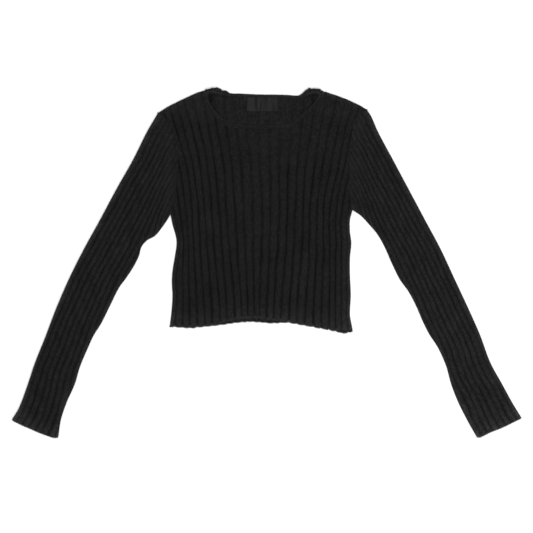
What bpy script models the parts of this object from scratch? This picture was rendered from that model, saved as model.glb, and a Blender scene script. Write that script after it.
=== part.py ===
"""A cropped, ribbed, long-sleeved sweater, laid flat with its back panel on the surface.

The frame has its origin under the middle of the garment, +X to the right when it is seen
from above, +Y towards the neck and +Z up. Tables are in millimetres and the meshes in metres.
The two sleeves and the front are knitted in wide ribs, which are raised on the outer side of
the wall over a plain inside. What rests on the surface is flat.
"""

import math

import bmesh
import bpy

MM = 0.001

# Cloth, in millimetres.
WALL = 1.5                # front and sleeve wall at the bottom of a groove
RIB_RISE = 1.4            # crest of a rib above its grooves
REST_WALL = 1.8           # back panel, and the sleeve's lower layer, which rest on the surface
SEAM_GAP = 0.3            # clearance between neighbouring pieces
EDGE_WALL = 0.9           # thickness left at a rounded edge
EDGE_ROUND = 3.0          # width over which an edge rounds down
BAND_WIDTH = 8.0          # neckband at the front
LABEL_THICK = 0.5
FADE_WIDTH = 18.0         # soft rises die out over this width at an edge
MERGE = 0.004             # points nearer than this become one
TINY = 0.01               # numbers nearer than this count as equal

# The rib lines are numbered from the middle groove, 0, to the side edges.
SIDE_RIB = 12.6
RIB_STEPS = (0.0, 0.24, 0.76)         # where a rib's profile is sampled, groove to groove
GROOVE_HALF = 0.24                    # half width of a groove, as a share of the rib pitch
GROOVE_TOP = 0.86                     # height beside the groove, as a share of the crest's
GROOVE_POWER = 1.3                    # shapes the groove's sides: above 1 its bottom is rounder
RIB_CREASE = 0.08                     # least spacing of the rib lines that end on an outline
EDGE_MERGE = 1.6                      # a rib line this near to an armhole runs into its seam
SIDE_STEPS = (0.08, 0.24)             # further rib lines beside each side edge, in ribs from it
SIDE_CLEAR = 0.3                      # other rib lines keep at least this far from it

# Where the rib lines of the body run: x of every third groove at a height y.
RIB_FLOW = (
    # y,      rib -9, rib -6, rib -3, rib 0, rib 3, rib 6, rib 9
    (301.0, -180.6, -133.4, -76.5, -17.0, 45.2, 108.2, 157.2),
    (261.0, -166.6, -123.7, -73.0, -16.1, 43.4, 99.4, 145.8),
    (222.4, -155.6, -113.9, -69.1, -15.2, 41.7, 91.9, 135.3),
    (166.4, -140.2, -103.8, -60.4, -11.5, 37.5, 82.8, 124.6),
    (96.4, -131.1, -96.8, -56.2, -8.2, 36.4, 76.1, 110.6),
    (12.4, -126.9, -90.6, -50.9, -9.8, 32.4, 74.2, 110.1),
    (-71.6, -122.7, -83.1, -44.3, -11.9, 25.9, 67.7, 109.0),
    (-127.6, -121.1, -80.9, -44.1, -12.1, 24.2, 66.7, 108.7),
)
FLOW_RIBS = (-SIDE_RIB, -9.0, -6.0, -3.0, 0.0, 3.0, 6.0, 9.0, SIDE_RIB)

# Side edges from the hem's height up to the underarm, and the same lean above it: y, x.
SIDE_LEFT = (
    (301.0, -222.0), (210.0, -196.0), (140.0, -178.0),
    (83.7, -167.8), (64.9, -164.0), (42.2, -157.7), (28.2, -157.3), (7.2, -160.5), (-13.8, -164.0),
    (-34.8, -165.4), (-59.3, -164.3), (-83.8, -165.7), (-111.8, -168.9), (-127.6, -170.0),
)
SIDE_RIGHT = (
    (301.0, 196.0), (210.0, 172.0), (140.0, 156.0),
    (91.2, 149.3), (73.7, 145.1), (52.7, 145.1), (33.4, 147.5), (7.2, 145.1), (-22.6, 145.1),
    (-57.6, 146.5), (-92.6, 145.1), (-115.3, 149.0), (-127.6, 149.0),
)

# Hem: x, y of the front's edge, y of the back's edge, which peeks out below it.
HEM = (
    (-170.0, -111.8, -111.8), (-155.2, -111.8, -112.9), (-134.2, -112.5, -114.4),
    (-113.2, -110.9, -112.3), (-92.2, -107.6, -110.4), (-71.2, -102.2, -107.6),
    (-50.2, -98.3, -104.8), (-29.2, -96.1, -103.4), (-11.7, -96.4, -104.3),
    (8.8, -100.3, -106.0), (35.6, -102.7, -104.9), (58.3, -107.3, -108.5),
    (82.8, -111.8, -112.9), (106.0, -116.2, -117.2), (124.8, -117.4, -121.3),
    (133.5, -117.6, -123.7), (150.0, -117.8, -120.6),
)

# Armhole seams, from the shoulder tip down to the underarm.
ARMHOLE_LEFT = (
    (-190.2, 260.9), (-181.5, 255.7), (-169.2, 234.7), (-158.7, 206.7), (-155.2, 178.7),
    (-157.0, 145.4), (-160.6, 121.8), (-165.2, 96.4), (-167.8, 83.7),
)
ARMHOLE_RIGHT = (
    (175.5, 266.2), (166.8, 262.7), (154.5, 250.4), (149.5, 232.9), (147.0, 206.7),
    (145.2, 178.7), (144.4, 147.9), (145.8, 117.4), (147.6, 101.7), (149.3, 91.2),
)

# Shoulder edges from the tip towards the neck; the back's run on below the neckband's turns.
SHOULDER_LEFT = (
    (-181.5, 267.2), (-172.7, 272.3), (-151.7, 283.2), (-130.7, 293.0), (-120.2, 296.9),
)
SHOULDER_RIGHT = ((163.3, 272.7), (142.3, 283.3), (121.3, 291.0), (110.8, 294.6))
BACK_NECK_LEFT = (
    (-111.5, 298.6), (-104.5, 301.8), (-97.0, 304.0), (-88.0, 304.8), (-81.5, 302.8),
    (-77.0, 299.0), (-74.5, 296.0), (-74.0, 290.0),
)
BACK_NECK_RIGHT = (
    (63.2, 290.0), (63.6, 296.0), (66.5, 300.5), (71.0, 303.4), (79.0, 304.4),
    (87.5, 302.6), (94.0, 300.4), (98.5, 298.8),
)

# Inner edge of the neckband at the front, left shoulder round to right shoulder.
NECK_INNER = (
    (-99.8, 286.5), (-96.6, 276.7), (-91.3, 267.9), (-84.3, 259.2), (-77.3, 251.3),
    (-68.6, 245.2), (-59.0, 242.2), (-38.0, 241.0), (-15.2, 240.6), (7.5, 240.6),
    (29.0, 241.0), (39.0, 242.6), (51.3, 250.1), (63.5, 260.9), (74.0, 269.7),
    (81.9, 278.4), (86.8, 286.3),
)
NECK_POINTS = 27
BAND_LOW = 2.4            # underside of the front part, over the back panel
BAND_TOP = 6.0
# The band's turns over the shoulders: outer x, outer y, inner x, inner y, underside, top.
TURN_LEFT = (
    (-109.5, 292.0, -101.0, 291.0, 2.4, 6.6), (-110.6, 297.4, -100.4, 292.8, 2.4, 7.2),
    (-106.2, 302.7, -99.2, 293.6, 2.4, 7.8), (-97.5, 305.6, -97.2, 294.0, 2.4, 8.2),
    (-87.8, 306.4, -93.1, 293.4, 2.4, 8.0), (-80.8, 304.2, -87.0, 292.2, 2.4, 7.2),
    (-75.6, 300.1, -80.0, 291.2, 2.4, 5.8), (-70.8, 297.0, -72.5, 290.6, 2.4, 4.6),
    (-64.0, 295.4, -64.0, 290.3, 0.0, 3.3),
)
TURN_RIGHT = (
    (98.8, 291.5, 90.4, 290.6, 2.4, 6.6), (100.4, 296.4, 89.8, 292.6, 2.4, 7.2),
    (96.4, 301.4, 88.6, 293.5, 2.4, 7.8), (88.0, 304.6, 86.0, 293.8, 2.4, 8.2),
    (79.3, 306.4, 81.5, 293.2, 2.4, 8.0), (70.5, 305.4, 76.0, 292.2, 2.4, 7.2),
    (64.4, 301.8, 69.0, 291.3, 2.4, 5.8), (59.8, 297.6, 61.5, 290.6, 2.4, 4.6),
    (53.5, 295.3, 53.5, 290.3, 0.0, 3.3),
)
BACK_BAND_STEPS = 8

# Sleeves: the outer, folded edge from the shoulder tip, the inner edge from the underarm,
# and the cuff's edge from the outer to the inner corner.
OUTER_LEFT = (
    (-209.5, 227.7), (-234.0, 178.7), (-263.7, 126.2), (-291.7, 73.7), (-319.7, 22.9),
    (-346.0, -29.6), (-368.7, -82.1), (-388.0, -132.8), (-405.5, -176.6), (-419.5, -218.6),
    (-433.5, -255.3), (-445.7, -275.4),
)
INNER_LEFT = (
    (-176.2, 70.2), (-185.0, 57.9), (-195.5, 45.7), (-209.5, 37.8), (-219.1, 26.4),
    (-223.5, 10.7), (-232.2, -6.8), (-244.5, -26.1), (-258.5, -45.3), (-274.2, -76.8),
    (-290.0, -108.3), (-302.2, -127.6), (-312.7, -150.3), (-326.7, -183.6), (-335.5, -213.3),
    (-349.5, -244.8), (-360.0, -276.3), (-364.2, -305.7),
)
CUFF_LEFT = (
    (-445.7, -275.4), (-426.5, -285.1), (-415.1, -289.8), (-400.2, -296.4), (-382.0, -303.3),
    (-371.3, -306.5), (-364.2, -305.7),
)
OUTER_RIGHT = (
    (194.8, 227.7), (221.0, 178.7), (249.0, 126.2), (277.0, 73.7), (304.2, 22.9),
    (328.7, -29.6), (353.2, -82.1), (373.3, -127.6), (390.8, -174.8), (411.8, -213.3),
    (431.0, -248.3), (445.7, -272.1),
)
INNER_RIGHT = (
    (165.0, 80.7), (179.0, 65.8), (193.0, 49.2), (205.3, 28.2), (219.3, -3.3),
    (233.3, -31.3), (247.3, -50.6), (261.3, -76.8), (271.8, -101.3), (284.0, -125.8),
    (299.8, -150.3), (313.8, -181.8), (322.5, -213.3), (334.8, -244.8), (350.5, -276.3),
    (366.3, -304.3),
)
CUFF_RIGHT = (
    (445.7, -272.1), (434.5, -277.5), (411.8, -288.6), (392.0, -296.4), (380.3, -302.2),
    (371.5, -306.0), (366.3, -304.3),
)
# Sleeve ribs follow the outer edge: share of its length, first groove's distance, pitch.
SLEEVE_RIBS_LEFT = (
    (0.0, 10.5, 9.2), (0.35, 10.6, 9.3), (0.6, 9.0, 9.6), (0.8, 6.5, 10.3), (1.0, 9.2, 12.0),
)
SLEEVE_RIBS_RIGHT = (
    (0.0, 11.5, 8.8), (0.35, 10.8, 9.0), (0.6, 10.6, 9.5), (0.8, 7.5, 10.2), (1.0, 8.0, 11.5),
)
SLEEVE_RIB_COUNT = 12
SLEEVE_RINGS = 26
SLEEVE_ENDS = (0.0, 0.0022, 0.006)    # rings that round off an end, as shares of the length
SLEEVE_GAP = 0.3          # space between the sleeve's two layers
ARMHOLE_REACH = 0.45      # share of the length over which the armhole's curve straightens out
CUFF_REACH = 0.12         # the same for the cuff's curve
OUTER_POINTS = 40         # of the smooth outer edge, inner edge and cuff
INNER_POINTS = 48
CUFF_POINTS = 13

# The sleeve's rounded sides.
SLEEVE_SIDE = 2.6         # width of a rounded side
SIDE_POINT = 0.22         # its extra points stand at this share of that width
SIDE_LOW = 0.55           # height of the lower one
SIDE_HIGH = 0.78          # height of the upper one, as a share of the wall's above its middle
SIDE_MIDDLE = 0.96        # height of the outermost point, as a share of the middle's
SIDE_RIB_PART = 0.5       # a rib that runs into the side keeps this share of its height
SLIT_MARGIN = 1.6         # the space between the layers keeps this many side widths away

# Soft rises of the upper layer: x, y, heading in degrees, half length, half width, height.
SOFT_RISES = (
    (-12.0, 70.0, 90.0, 150.0, 90.0, 1.0),
    (-120.0, 200.0, 65.0, 70.0, 22.0, 0.9),
    (110.0, 205.0, 115.0, 70.0, 22.0, 0.9),
    (-140.0, 60.0, 62.0, 55.0, 10.0, 1.0),
    (126.0, 66.0, 118.0, 50.0, 9.0, 0.9),
    (-60.0, -60.0, 84.0, 40.0, 26.0, 0.7),
    (70.0, -70.0, 96.0, 40.0, 24.0, 0.7),
    (-196.0, 130.0, 50.0, 60.0, 16.0, 1.2),
    (-206.0, 62.0, 40.0, 34.0, 9.0, 1.6),
    (186.0, 110.0, 128.0, 46.0, 11.0, 1.3),
    (-262.0, 42.0, 61.0, 60.0, 15.0, 0.9),
    (262.0, 34.0, 119.0, 66.0, 15.0, 0.9),
    (-330.0, -110.0, 66.0, 70.0, 14.0, 0.8),
    (332.0, -120.0, 115.0, 60.0, 14.0, 0.8),
    (-394.0, -240.0, 70.0, 34.0, 14.0, 0.7),
    (396.0, -244.0, 112.0, 34.0, 14.0, 0.7),
)

# Label, sewn in under the back of the neckband: left, right, lower and upper edge.
LABEL_BOX = (-34.5, 19.8, 263.7, 289.8)
LABEL_CREASE = 0.5        # its face ripples this much along its width
LABEL_WAVES = 2.2         # in this many waves
LABEL_CALM = 0.6          # less of it along the sewn upper edge
LABEL_COLUMNS = 12
LABEL_ROWS = 4

# Rows of the panels, from the hem to the upper outline.
END_ROWS = (0.0, 1.0, EDGE_ROUND)
ROWS_BELOW_UNDERARM = 6
ROWS_ABOVE_UNDERARM = 7

# Steps of the calculations.
FINE_STEPS = 8            # of a smooth curve between two of its wanted points
SETTLE_STEPS = 6          # to find where a rib line meets the hem
BISECTIONS = 24           # to find a place on a line

YARN_BLACK = (0.012, 0.012, 0.013, 1.0)
LABEL_BLACK = (0.02, 0.02, 0.022, 1.0)


# ---------------------------------------------------------------- curves

def table_value(knots, values, at):
    """Value of a smooth curve through the values, straight beyond its ends."""
    count = len(knots)
    rising = knots[-1] > knots[0]
    index = 0
    while index < count - 2 and (at > knots[index + 1]) == rising:
        index += 1

    def slope(i):
        low = max(i - 1, 0)
        high = min(i + 1, count - 1)
        return (values[high] - values[low]) / (knots[high] - knots[low])

    span = knots[index + 1] - knots[index]
    share = (at - knots[index]) / span
    if share < 0.0:
        return values[index] + slope(index) * (at - knots[index])
    if share > 1.0:
        return values[index + 1] + slope(index + 1) * (at - knots[index + 1])
    square = share * share
    cube = square * share
    return ((2 * cube - 3 * square + 1) * values[index] + (cube - 2 * square + share) * span * slope(index)
            + (3 * square - 2 * cube) * values[index + 1] + (cube - square) * span * slope(index + 1))


def lengths(points):
    """Running length along a polyline."""
    total = [0.0]
    for first, second in zip(points, points[1:]):
        total.append(total[-1] + math.dist(first, second))
    return total


def along(points, running, share):
    """Point of a polyline at a share of its length."""
    target = share * running[-1]
    index = 0
    while index < len(points) - 2 and running[index + 1] < target:
        index += 1
    part = (target - running[index]) / (running[index + 1] - running[index])
    first, second = points[index], points[index + 1]
    return (first[0] + (second[0] - first[0]) * part, first[1] + (second[1] - first[1]) * part)


def smooth(points, count):
    """Evenly spaced points of a smooth curve through the given ones."""
    running = lengths(points)
    xs = [point[0] for point in points]
    ys = [point[1] for point in points]
    fine = []
    steps = count * FINE_STEPS
    for step in range(steps + 1):
        at = running[-1] * step / steps
        fine.append((table_value(running, xs, at), table_value(running, ys, at)))
    fine_running = lengths(fine)
    return [along(fine, fine_running, step / (count - 1)) for step in range(count)]


def moved_sideways(points, distance):
    """The polyline moved to its left by a distance, with mitred corners."""
    moved = []
    for index, point in enumerate(points):
        before = points[max(index - 1, 0)]
        after = points[min(index + 1, len(points) - 1)]
        normals = []
        for first, second in ((before, point), (point, after)):
            length = math.dist(first, second)
            if length > 0.0:
                normals.append(((first[1] - second[1]) / length, (second[0] - first[0]) / length))
        sum_x = sum(normal[0] for normal in normals)
        sum_y = sum(normal[1] for normal in normals)
        size = math.hypot(sum_x, sum_y)
        mitre = distance * len(normals) / size
        moved.append((point[0] + sum_x / size * mitre, point[1] + sum_y / size * mitre))
    return moved


def nearest(points, running, x, y):
    """Distance from a polyline, and the share of its length where the nearest point lies."""
    best = (1e9, 0.0)
    for index in range(len(points) - 1):
        ax, ay = points[index]
        bx, by = points[index + 1]
        span = (bx - ax) ** 2 + (by - ay) ** 2
        part = min(max(((x - ax) * (bx - ax) + (y - ay) * (by - ay)) / span, 0.0), 1.0)
        gap = math.hypot(x - ax - (bx - ax) * part, y - ay - (by - ay) * part)
        if gap < best[0]:
            place = running[index] + (running[index + 1] - running[index]) * part
            best = (gap, place / running[-1])
    return best


# ---------------------------------------------------------------- cloth form

def rib_height(number):
    """Height of the ribs at a rib number, 0 in a groove and 1 on a crest."""
    away = abs(number - round(number)) / GROOVE_HALF
    if away < 1.0:
        return GROOVE_TOP * math.sin(0.5 * math.pi * away) ** GROOVE_POWER
    crest = 0.5 / GROOVE_HALF
    return GROOVE_TOP + (1.0 - GROOVE_TOP) * (away - 1.0) / (crest - 1.0)


def edge_round(gap):
    """Quarter round: 0 at an edge, 1 once EDGE_ROUND away from it."""
    away = 1.0 - min(max(gap / EDGE_ROUND, 0.0), 1.0)
    return math.sqrt(max(1.0 - away * away, 0.0))


def soft_rise(x, y):
    """How far the upper layer stands proud of its lowest place."""
    height = 0.0
    for centre_x, centre_y, heading, half_length, half_width, rise in SOFT_RISES:
        angle = math.radians(heading)
        lengthwise = ((x - centre_x) * math.cos(angle) + (y - centre_y) * math.sin(angle)) / half_length
        crosswise = ((y - centre_y) * math.cos(angle) - (x - centre_x) * math.sin(angle)) / half_width
        height += rise * math.exp(-lengthwise * lengthwise - crosswise * crosswise)
    return height


def edge_fade(gap):
    """Soft rises die out towards the edges."""
    share = min(gap / FADE_WIDTH, 1.0)
    return share * share * (3.0 - 2.0 * share)


# ---------------------------------------------------------------- body panels

def side_x(table, y):
    return table_value([row[0] for row in table], [row[1] for row in table], y)


def armhole_x(table, y):
    return table_value([row[1] for row in table], [row[0] for row in table], y)


def hem_y(x, back):
    return table_value([row[0] for row in HEM], [row[2 if back else 1] for row in HEM], x)


def rib_x(number, y):
    """Where a rib line of the body is at the height y."""
    heights = [row[0] for row in RIB_FLOW]
    places = [side_x(SIDE_LEFT, y)]
    for column in range(1, len(RIB_FLOW[0])):
        places.append(table_value(heights, [row[column] for row in RIB_FLOW], y))
    places.append(side_x(SIDE_RIGHT, y))
    return table_value(FLOW_RIBS, places, number)


def rib_number(x, y):
    """Number of the rib line through a point of the body."""
    low, high = -SIDE_RIB, SIDE_RIB
    for _ in range(BISECTIONS):
        middle = 0.5 * (low + high)
        if rib_x(middle, y) < x:
            low = middle
        else:
            high = middle
    return 0.5 * (low + high)


def at_side(number):
    return abs(number) > SIDE_RIB - TINY


def hem_point(number, back):
    """Where a rib line ends on the hem."""
    y = HEM[0][1]
    for _ in range(SETTLE_STEPS):
        y = hem_y(rib_x(number, y), back)
    return rib_x(number, y), y


def row_shares(armhole, back, number):
    """Heights of the rows at one side edge, as shares from the hem to the shoulder tip."""
    bottom = hem_point(number, back)[1]
    height = armhole[0][1] - bottom
    underarm = armhole[-1][1] - bottom
    margin = END_ROWS[-1]
    places = list(END_ROWS)
    for step in range(1, ROWS_BELOW_UNDERARM + 1):
        places.append(margin + (underarm - margin) * step / ROWS_BELOW_UNDERARM)
    for step in range(1, ROWS_ABOVE_UNDERARM):
        places.append(underarm + (height - margin - underarm) * step / ROWS_ABOVE_UNDERARM)
    places += [height - place for place in reversed(END_ROWS)]
    return [place / height for place in places]


def edge_column(armhole, side, back, number):
    """A panel's side edge and armhole, from the hem to the shoulder tip."""
    x, bottom = hem_point(number, back)
    height = armhole[0][1] - bottom
    points = [(x, bottom)]
    for share in row_shares(armhole, back, number)[1:-1]:
        y = bottom + height * share
        above = y > armhole[-1][1] - TINY
        points.append((armhole_x(armhole, y) if above else side_x(side, y), y))
    points.append(armhole[0])
    return points


def x_on_edge(column, y):
    """Where a side edge is at the height y, and its tip's x above the tip."""
    index = 0
    while index < len(column) - 2 and column[index + 1][1] < y:
        index += 1
    first, second = column[index], column[index + 1]
    part = min(max((y - first[1]) / (second[1] - first[1]), 0.0), 1.0)
    return first[0] + (second[0] - first[0]) * part


def landings(outline):
    """Rib number of each point of the upper outline, rising from left to right."""
    numbers = [rib_number(*outline[0])]
    for x, y in outline[1:]:
        numbers.append(max(numbers[-1] + RIB_CREASE, rib_number(x, y)))
    return numbers


def landing_point(outline, numbers, number):
    """Where a rib line ends on the upper outline."""
    index = 0
    while index < len(numbers) - 2 and numbers[index + 1] < number:
        index += 1
    part = (number - numbers[index]) / (numbers[index + 1] - numbers[index])
    part = min(max(part, 0.0), 1.0)
    first, second = outline[index], outline[index + 1]
    return (first[0] + (second[0] - first[0]) * part, first[1] + (second[1] - first[1]) * part)


def body_columns(outline, steps, back):
    """Rib numbers of a panel and the points of each rib line, hem to upper outline."""
    corners = landings(outline)
    numbers = []
    for rib in range(math.floor(-SIDE_RIB), math.ceil(SIDE_RIB)):
        numbers += [rib + step for step in steps]
    numbers = [number for number in numbers if abs(number) < SIDE_RIB - SIDE_CLEAR
               and min(abs(number - corner) for corner in corners) > 0.5 * RIB_CREASE]
    for away in SIDE_STEPS:
        numbers += [away - SIDE_RIB, SIDE_RIB - away]
    numbers = sorted(numbers + corners)

    left = edge_column(ARMHOLE_LEFT, SIDE_LEFT, back, -SIDE_RIB)
    right = edge_column(ARMHOLE_RIGHT, SIDE_RIGHT, back, SIDE_RIB)
    shares_left = row_shares(ARMHOLE_LEFT, back, -SIDE_RIB)
    shares_right = row_shares(ARMHOLE_RIGHT, back, SIDE_RIB)
    columns = [left]
    for number in numbers:
        top = landing_point(outline, corners, number)
        bottom = hem_point(number, back)[1]
        reaches = corners[0] <= number <= corners[-1]
        shift = top[0] - rib_x(number, top[1]) if reaches else 0.0
        part = 0.5 + 0.5 * number / SIDE_RIB
        points = []
        for row, (share_left, share_right) in enumerate(zip(shares_left, shares_right)):
            share = share_left + (share_right - share_left) * part
            y = bottom + (top[1] - bottom) * share
            x = rib_x(number, y) + shift * share ** 3
            if row == len(shares_left) - 1:
                x, y = top
            elif x < x_on_edge(left, y) + EDGE_MERGE and not (reaches and y > left[-1][1]):
                x, y = left[row]
            elif x > x_on_edge(right, y) - EDGE_MERGE and not (reaches and y > right[-1][1]):
                x, y = right[row]
            points.append((x, y))
        columns.append(points)
    return [-SIDE_RIB] + numbers + [SIDE_RIB], columns + [right]


def panel_outline(neck):
    """Upper outline of a body panel, from the left shoulder tip over the neck to the right."""
    return ([ARMHOLE_LEFT[0]] + list(SHOULDER_LEFT) + list(neck) + list(SHOULDER_RIGHT)[::-1]
            + [ARMHOLE_RIGHT[0]])


def edge_line(columns):
    """The whole outline of a panel as one closed polyline."""
    bottom = [column[0] for column in columns]
    top = [column[-1] for column in columns]
    whole = bottom[::-1] + columns[0][1:-1] + top + columns[-1][1:-1][::-1] + bottom[-1:]
    return whole[:1] + [point for before, point in zip(whole, whole[1:]) if point != before]


def new_object(name, mesh, colour, roughness):
    """Close a bmesh into a named object with its own material."""
    bmesh.ops.remove_doubles(mesh, verts=mesh.verts, dist=MERGE * MM)
    bmesh.ops.triangulate(mesh, faces=mesh.faces)
    bmesh.ops.recalc_face_normals(mesh, faces=mesh.faces)
    data = bpy.data.meshes.new(name)
    mesh.to_mesh(data)
    mesh.free()
    material = bpy.data.materials.new(name + "_material")
    material.use_nodes = True
    shader = material.node_tree.nodes["Principled BSDF"]
    shader.inputs["Base Color"].default_value = colour
    shader.inputs["Roughness"].default_value = roughness
    shader.inputs["Metallic"].default_value = 0.0
    data.materials.append(material)
    data.shade_smooth()
    thing = bpy.data.objects.new(name, data)
    COLLECTION.objects.link(thing)
    return thing


def sheet(name, upper, lower, shared):
    """A wall between two sheets of columns; shared lists the upper column of each lower one."""
    mesh = bmesh.new()
    tops = [[mesh.verts.new([value * MM for value in point]) for point in column] for column in upper]
    bases = [[mesh.verts.new([value * MM for value in point]) for point in column] for column in lower]
    rows = len(upper[0])
    for first, second in zip(tops, tops[1:]):
        for row in range(rows - 1):
            mesh.faces.new((first[row], second[row], second[row + 1], first[row + 1]))
    for first, second in zip(bases, bases[1:]):
        for row in range(rows - 1):
            mesh.faces.new((first[row + 1], second[row + 1], second[row], first[row]))
    for top, base in ((tops[0], bases[0]), (tops[-1], bases[-1])):
        for row in range(rows - 1):
            mesh.faces.new((top[row], top[row + 1], base[row + 1], base[row]))
    for index in range(len(bases) - 1):
        span = tops[shared[index]:shared[index + 1] + 1]
        for row in (0, rows - 1):
            mesh.faces.new([column[row] for column in span] + [bases[index + 1][row], bases[index][row]])
    return new_object(name, mesh, YARN_BLACK, 0.95)


def make_front(neck):
    outline = panel_outline(neck)
    corners = landings(outline)
    numbers, columns = body_columns(outline, RIB_STEPS, False)
    edge = edge_line(columns)
    running = lengths(edge)
    upper, lower, shared = [], [], []
    for index, (number, column) in enumerate(zip(numbers, columns)):
        tops, bases = [], []
        for x, y in column:
            gap = nearest(edge, running, x, y)[0]
            base = REST_WALL + SEAM_GAP + soft_rise(x, y) * edge_fade(gap)
            full = WALL + RIB_RISE * rib_height(rib_number(x, y))
            tops.append((x, y, base + EDGE_WALL + (full - EDGE_WALL) * edge_round(gap)))
            bases.append((x, y, base))
        upper.append(tops)
        if at_side(number) or number in corners or number % 2 == 0:
            lower.append(bases)
            shared.append(index)
    return sheet("front", upper, lower, shared)


def make_back():
    outline = panel_outline(list(BACK_NECK_LEFT) + list(BACK_NECK_RIGHT))
    corners = landings(outline)
    numbers, columns = body_columns(outline, RIB_STEPS[:1], True)
    upper, lower = [], []
    for number, column in zip(numbers, columns):
        if at_side(number) or number in corners or number % 3 == 0:
            upper.append([(x, y, REST_WALL) for x, y in column])
            lower.append([(x, y, 0.0) for x, y in column])
    return sheet("back", upper, lower, list(range(len(upper))))


# ---------------------------------------------------------------- neckband and label

def band_stations():
    """Sections of the neckband: outer and inner point, underside and top."""
    inner = smooth(NECK_INNER, NECK_POINTS)
    outer = moved_sideways(inner, -BAND_WIDTH)
    front = [out + inn + (BAND_LOW, BAND_TOP) for out, inn in zip(outer, inner)]
    back = []
    last_left, last_right = TURN_LEFT[-1], TURN_RIGHT[-1]
    for step in range(1, BACK_BAND_STEPS):
        share = step / BACK_BAND_STEPS
        back.append(tuple(a + (b - a) * share for a, b in zip(last_right, last_left)))
    return front, list(TURN_RIGHT) + back + list(TURN_LEFT)[::-1]


def band_section(station):
    """Rounded section of the band between its outer and inner edge."""
    outer_x, outer_y, inner_x, inner_y, low, top = station
    shape = (
        # share of the width, share of the height
        (0.06, 0.12), (0.0, 0.45), (0.08, 0.78), (0.3, 0.97), (0.62, 1.0),
        (0.9, 0.8), (1.0, 0.45), (0.93, 0.1), (0.75, 0.0), (0.25, 0.0),
    )
    points = []
    for across, up in shape:
        x = outer_x + (inner_x - outer_x) * across
        y = outer_y + (inner_y - outer_y) * across
        points.append((x, y, low + (top - low) * up))
    return points


def make_neckband():
    front, rest = band_stations()
    mesh = bmesh.new()
    rings = [[mesh.verts.new([value * MM for value in point]) for point in band_section(station)]
             for station in front + rest]
    count = len(rings[0])
    for first, second in zip(rings, rings[1:] + rings[:1]):
        for corner in range(count):
            after = (corner + 1) % count
            mesh.faces.new((first[corner], first[after], second[after], second[corner]))
    return new_object("neckband", mesh, YARN_BLACK, 0.95)


def neck_seam():
    """The front panel's edge along the neckband, from the left shoulder to the right one."""
    front = [station[:2] for station in band_stations()[0]]
    left = [TURN_LEFT[1][:2], TURN_LEFT[0][:2]]
    right = [TURN_RIGHT[0][:2], TURN_RIGHT[1][:2]]
    return moved_sideways(left + front + right, -SEAM_GAP)


def make_label():
    """The label's rippled slip, with its upper edge at the neckband."""
    left, right, lower, upper = LABEL_BOX
    base = REST_WALL + SEAM_GAP
    columns_up, columns_down = [], []
    for step in range(LABEL_COLUMNS + 1):
        across = step / LABEL_COLUMNS
        x = left + (right - left) * across
        ripple = 0.5 * LABEL_CREASE * (1.0 - math.cos(2.0 * math.pi * LABEL_WAVES * across))
        tops, bases = [], []
        for row in range(LABEL_ROWS + 1):
            up = row / LABEL_ROWS
            y = lower + (upper - lower) * up
            z = base + ripple * (1.0 - LABEL_CALM * up)
            tops.append((x, y, z + LABEL_THICK))
            bases.append((x, y, z))
        columns_up.append(tops)
        columns_down.append(bases)
    label = sheet("label", columns_up, columns_down, list(range(LABEL_COLUMNS + 1)))
    shader = label.data.materials[0].node_tree.nodes["Principled BSDF"]
    shader.inputs["Base Color"].default_value = LABEL_BLACK
    shader.inputs["Roughness"].default_value = 0.4
    return label


# ---------------------------------------------------------------- sleeves

def sleeve_lines(armhole, outer, inner, cuff, side):
    """The sleeve's edges as polylines: armhole end, outer edge, inner edge and cuff."""
    edge = edge_column(armhole, SIDE_LEFT if side < 0 else SIDE_RIGHT, False, SIDE_RIB * side)
    seam = [point for point in edge if point[1] > armhole[-1][1] - TINY]
    end = moved_sideways(seam[::-1], SEAM_GAP * side)
    outside = smooth([end[0]] + list(outer), OUTER_POINTS)
    inside = smooth([end[-1]] + list(inner), INNER_POINTS)
    return end, outside, inside, smooth(cuff, CUFF_POINTS)


def cross_line(lines, share):
    """A function that gives the points of one cross line of a sleeve, 0 outer to 1 inner."""
    end, outside, inside, cuff = lines
    outer = along(outside, lengths(outside), share)
    inner = along(inside, lengths(inside), share)
    end_running, cuff_running = lengths(end), lengths(cuff)
    end_part = max(1.0 - share / ARMHOLE_REACH, 0.0) ** 2
    cuff_part = max(1.0 - (1.0 - share) / CUFF_REACH, 0.0) ** 2

    def point(at):
        x = outer[0] + (inner[0] - outer[0]) * at
        y = outer[1] + (inner[1] - outer[1]) * at
        for line, running, part in ((end, end_running, end_part), (cuff, cuff_running, cuff_part)):
            there = along(line, running, at)
            x += part * (there[0] - line[0][0] - (line[-1][0] - line[0][0]) * at)
            y += part * (there[1] - line[0][1] - (line[-1][1] - line[0][1]) * at)
        return x, y

    return point


def sleeve_rib(outside, running, table, x, y):
    """Rib number at a point of a sleeve, counted from the outer edge."""
    gap, share = nearest(outside, running, x, y)
    shares = [row[0] for row in table]
    first = table_value(shares, [row[1] for row in table], share)
    pitch = table_value(shares, [row[2] for row in table], share)
    return 1.0 + (gap - first) / pitch


def place_on_line(point, number_at, wanted, low, high):
    """Where a cross line meets a rib line, kept between low and high."""
    if number_at(*point(low)) >= wanted:
        return low
    if number_at(*point(high)) <= wanted:
        return high
    first, last = low, high
    for _ in range(BISECTIONS):
        middle = 0.5 * (first + last)
        if number_at(*point(middle)) < wanted:
            first = middle
        else:
            last = middle
    return 0.5 * (first + last)


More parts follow.
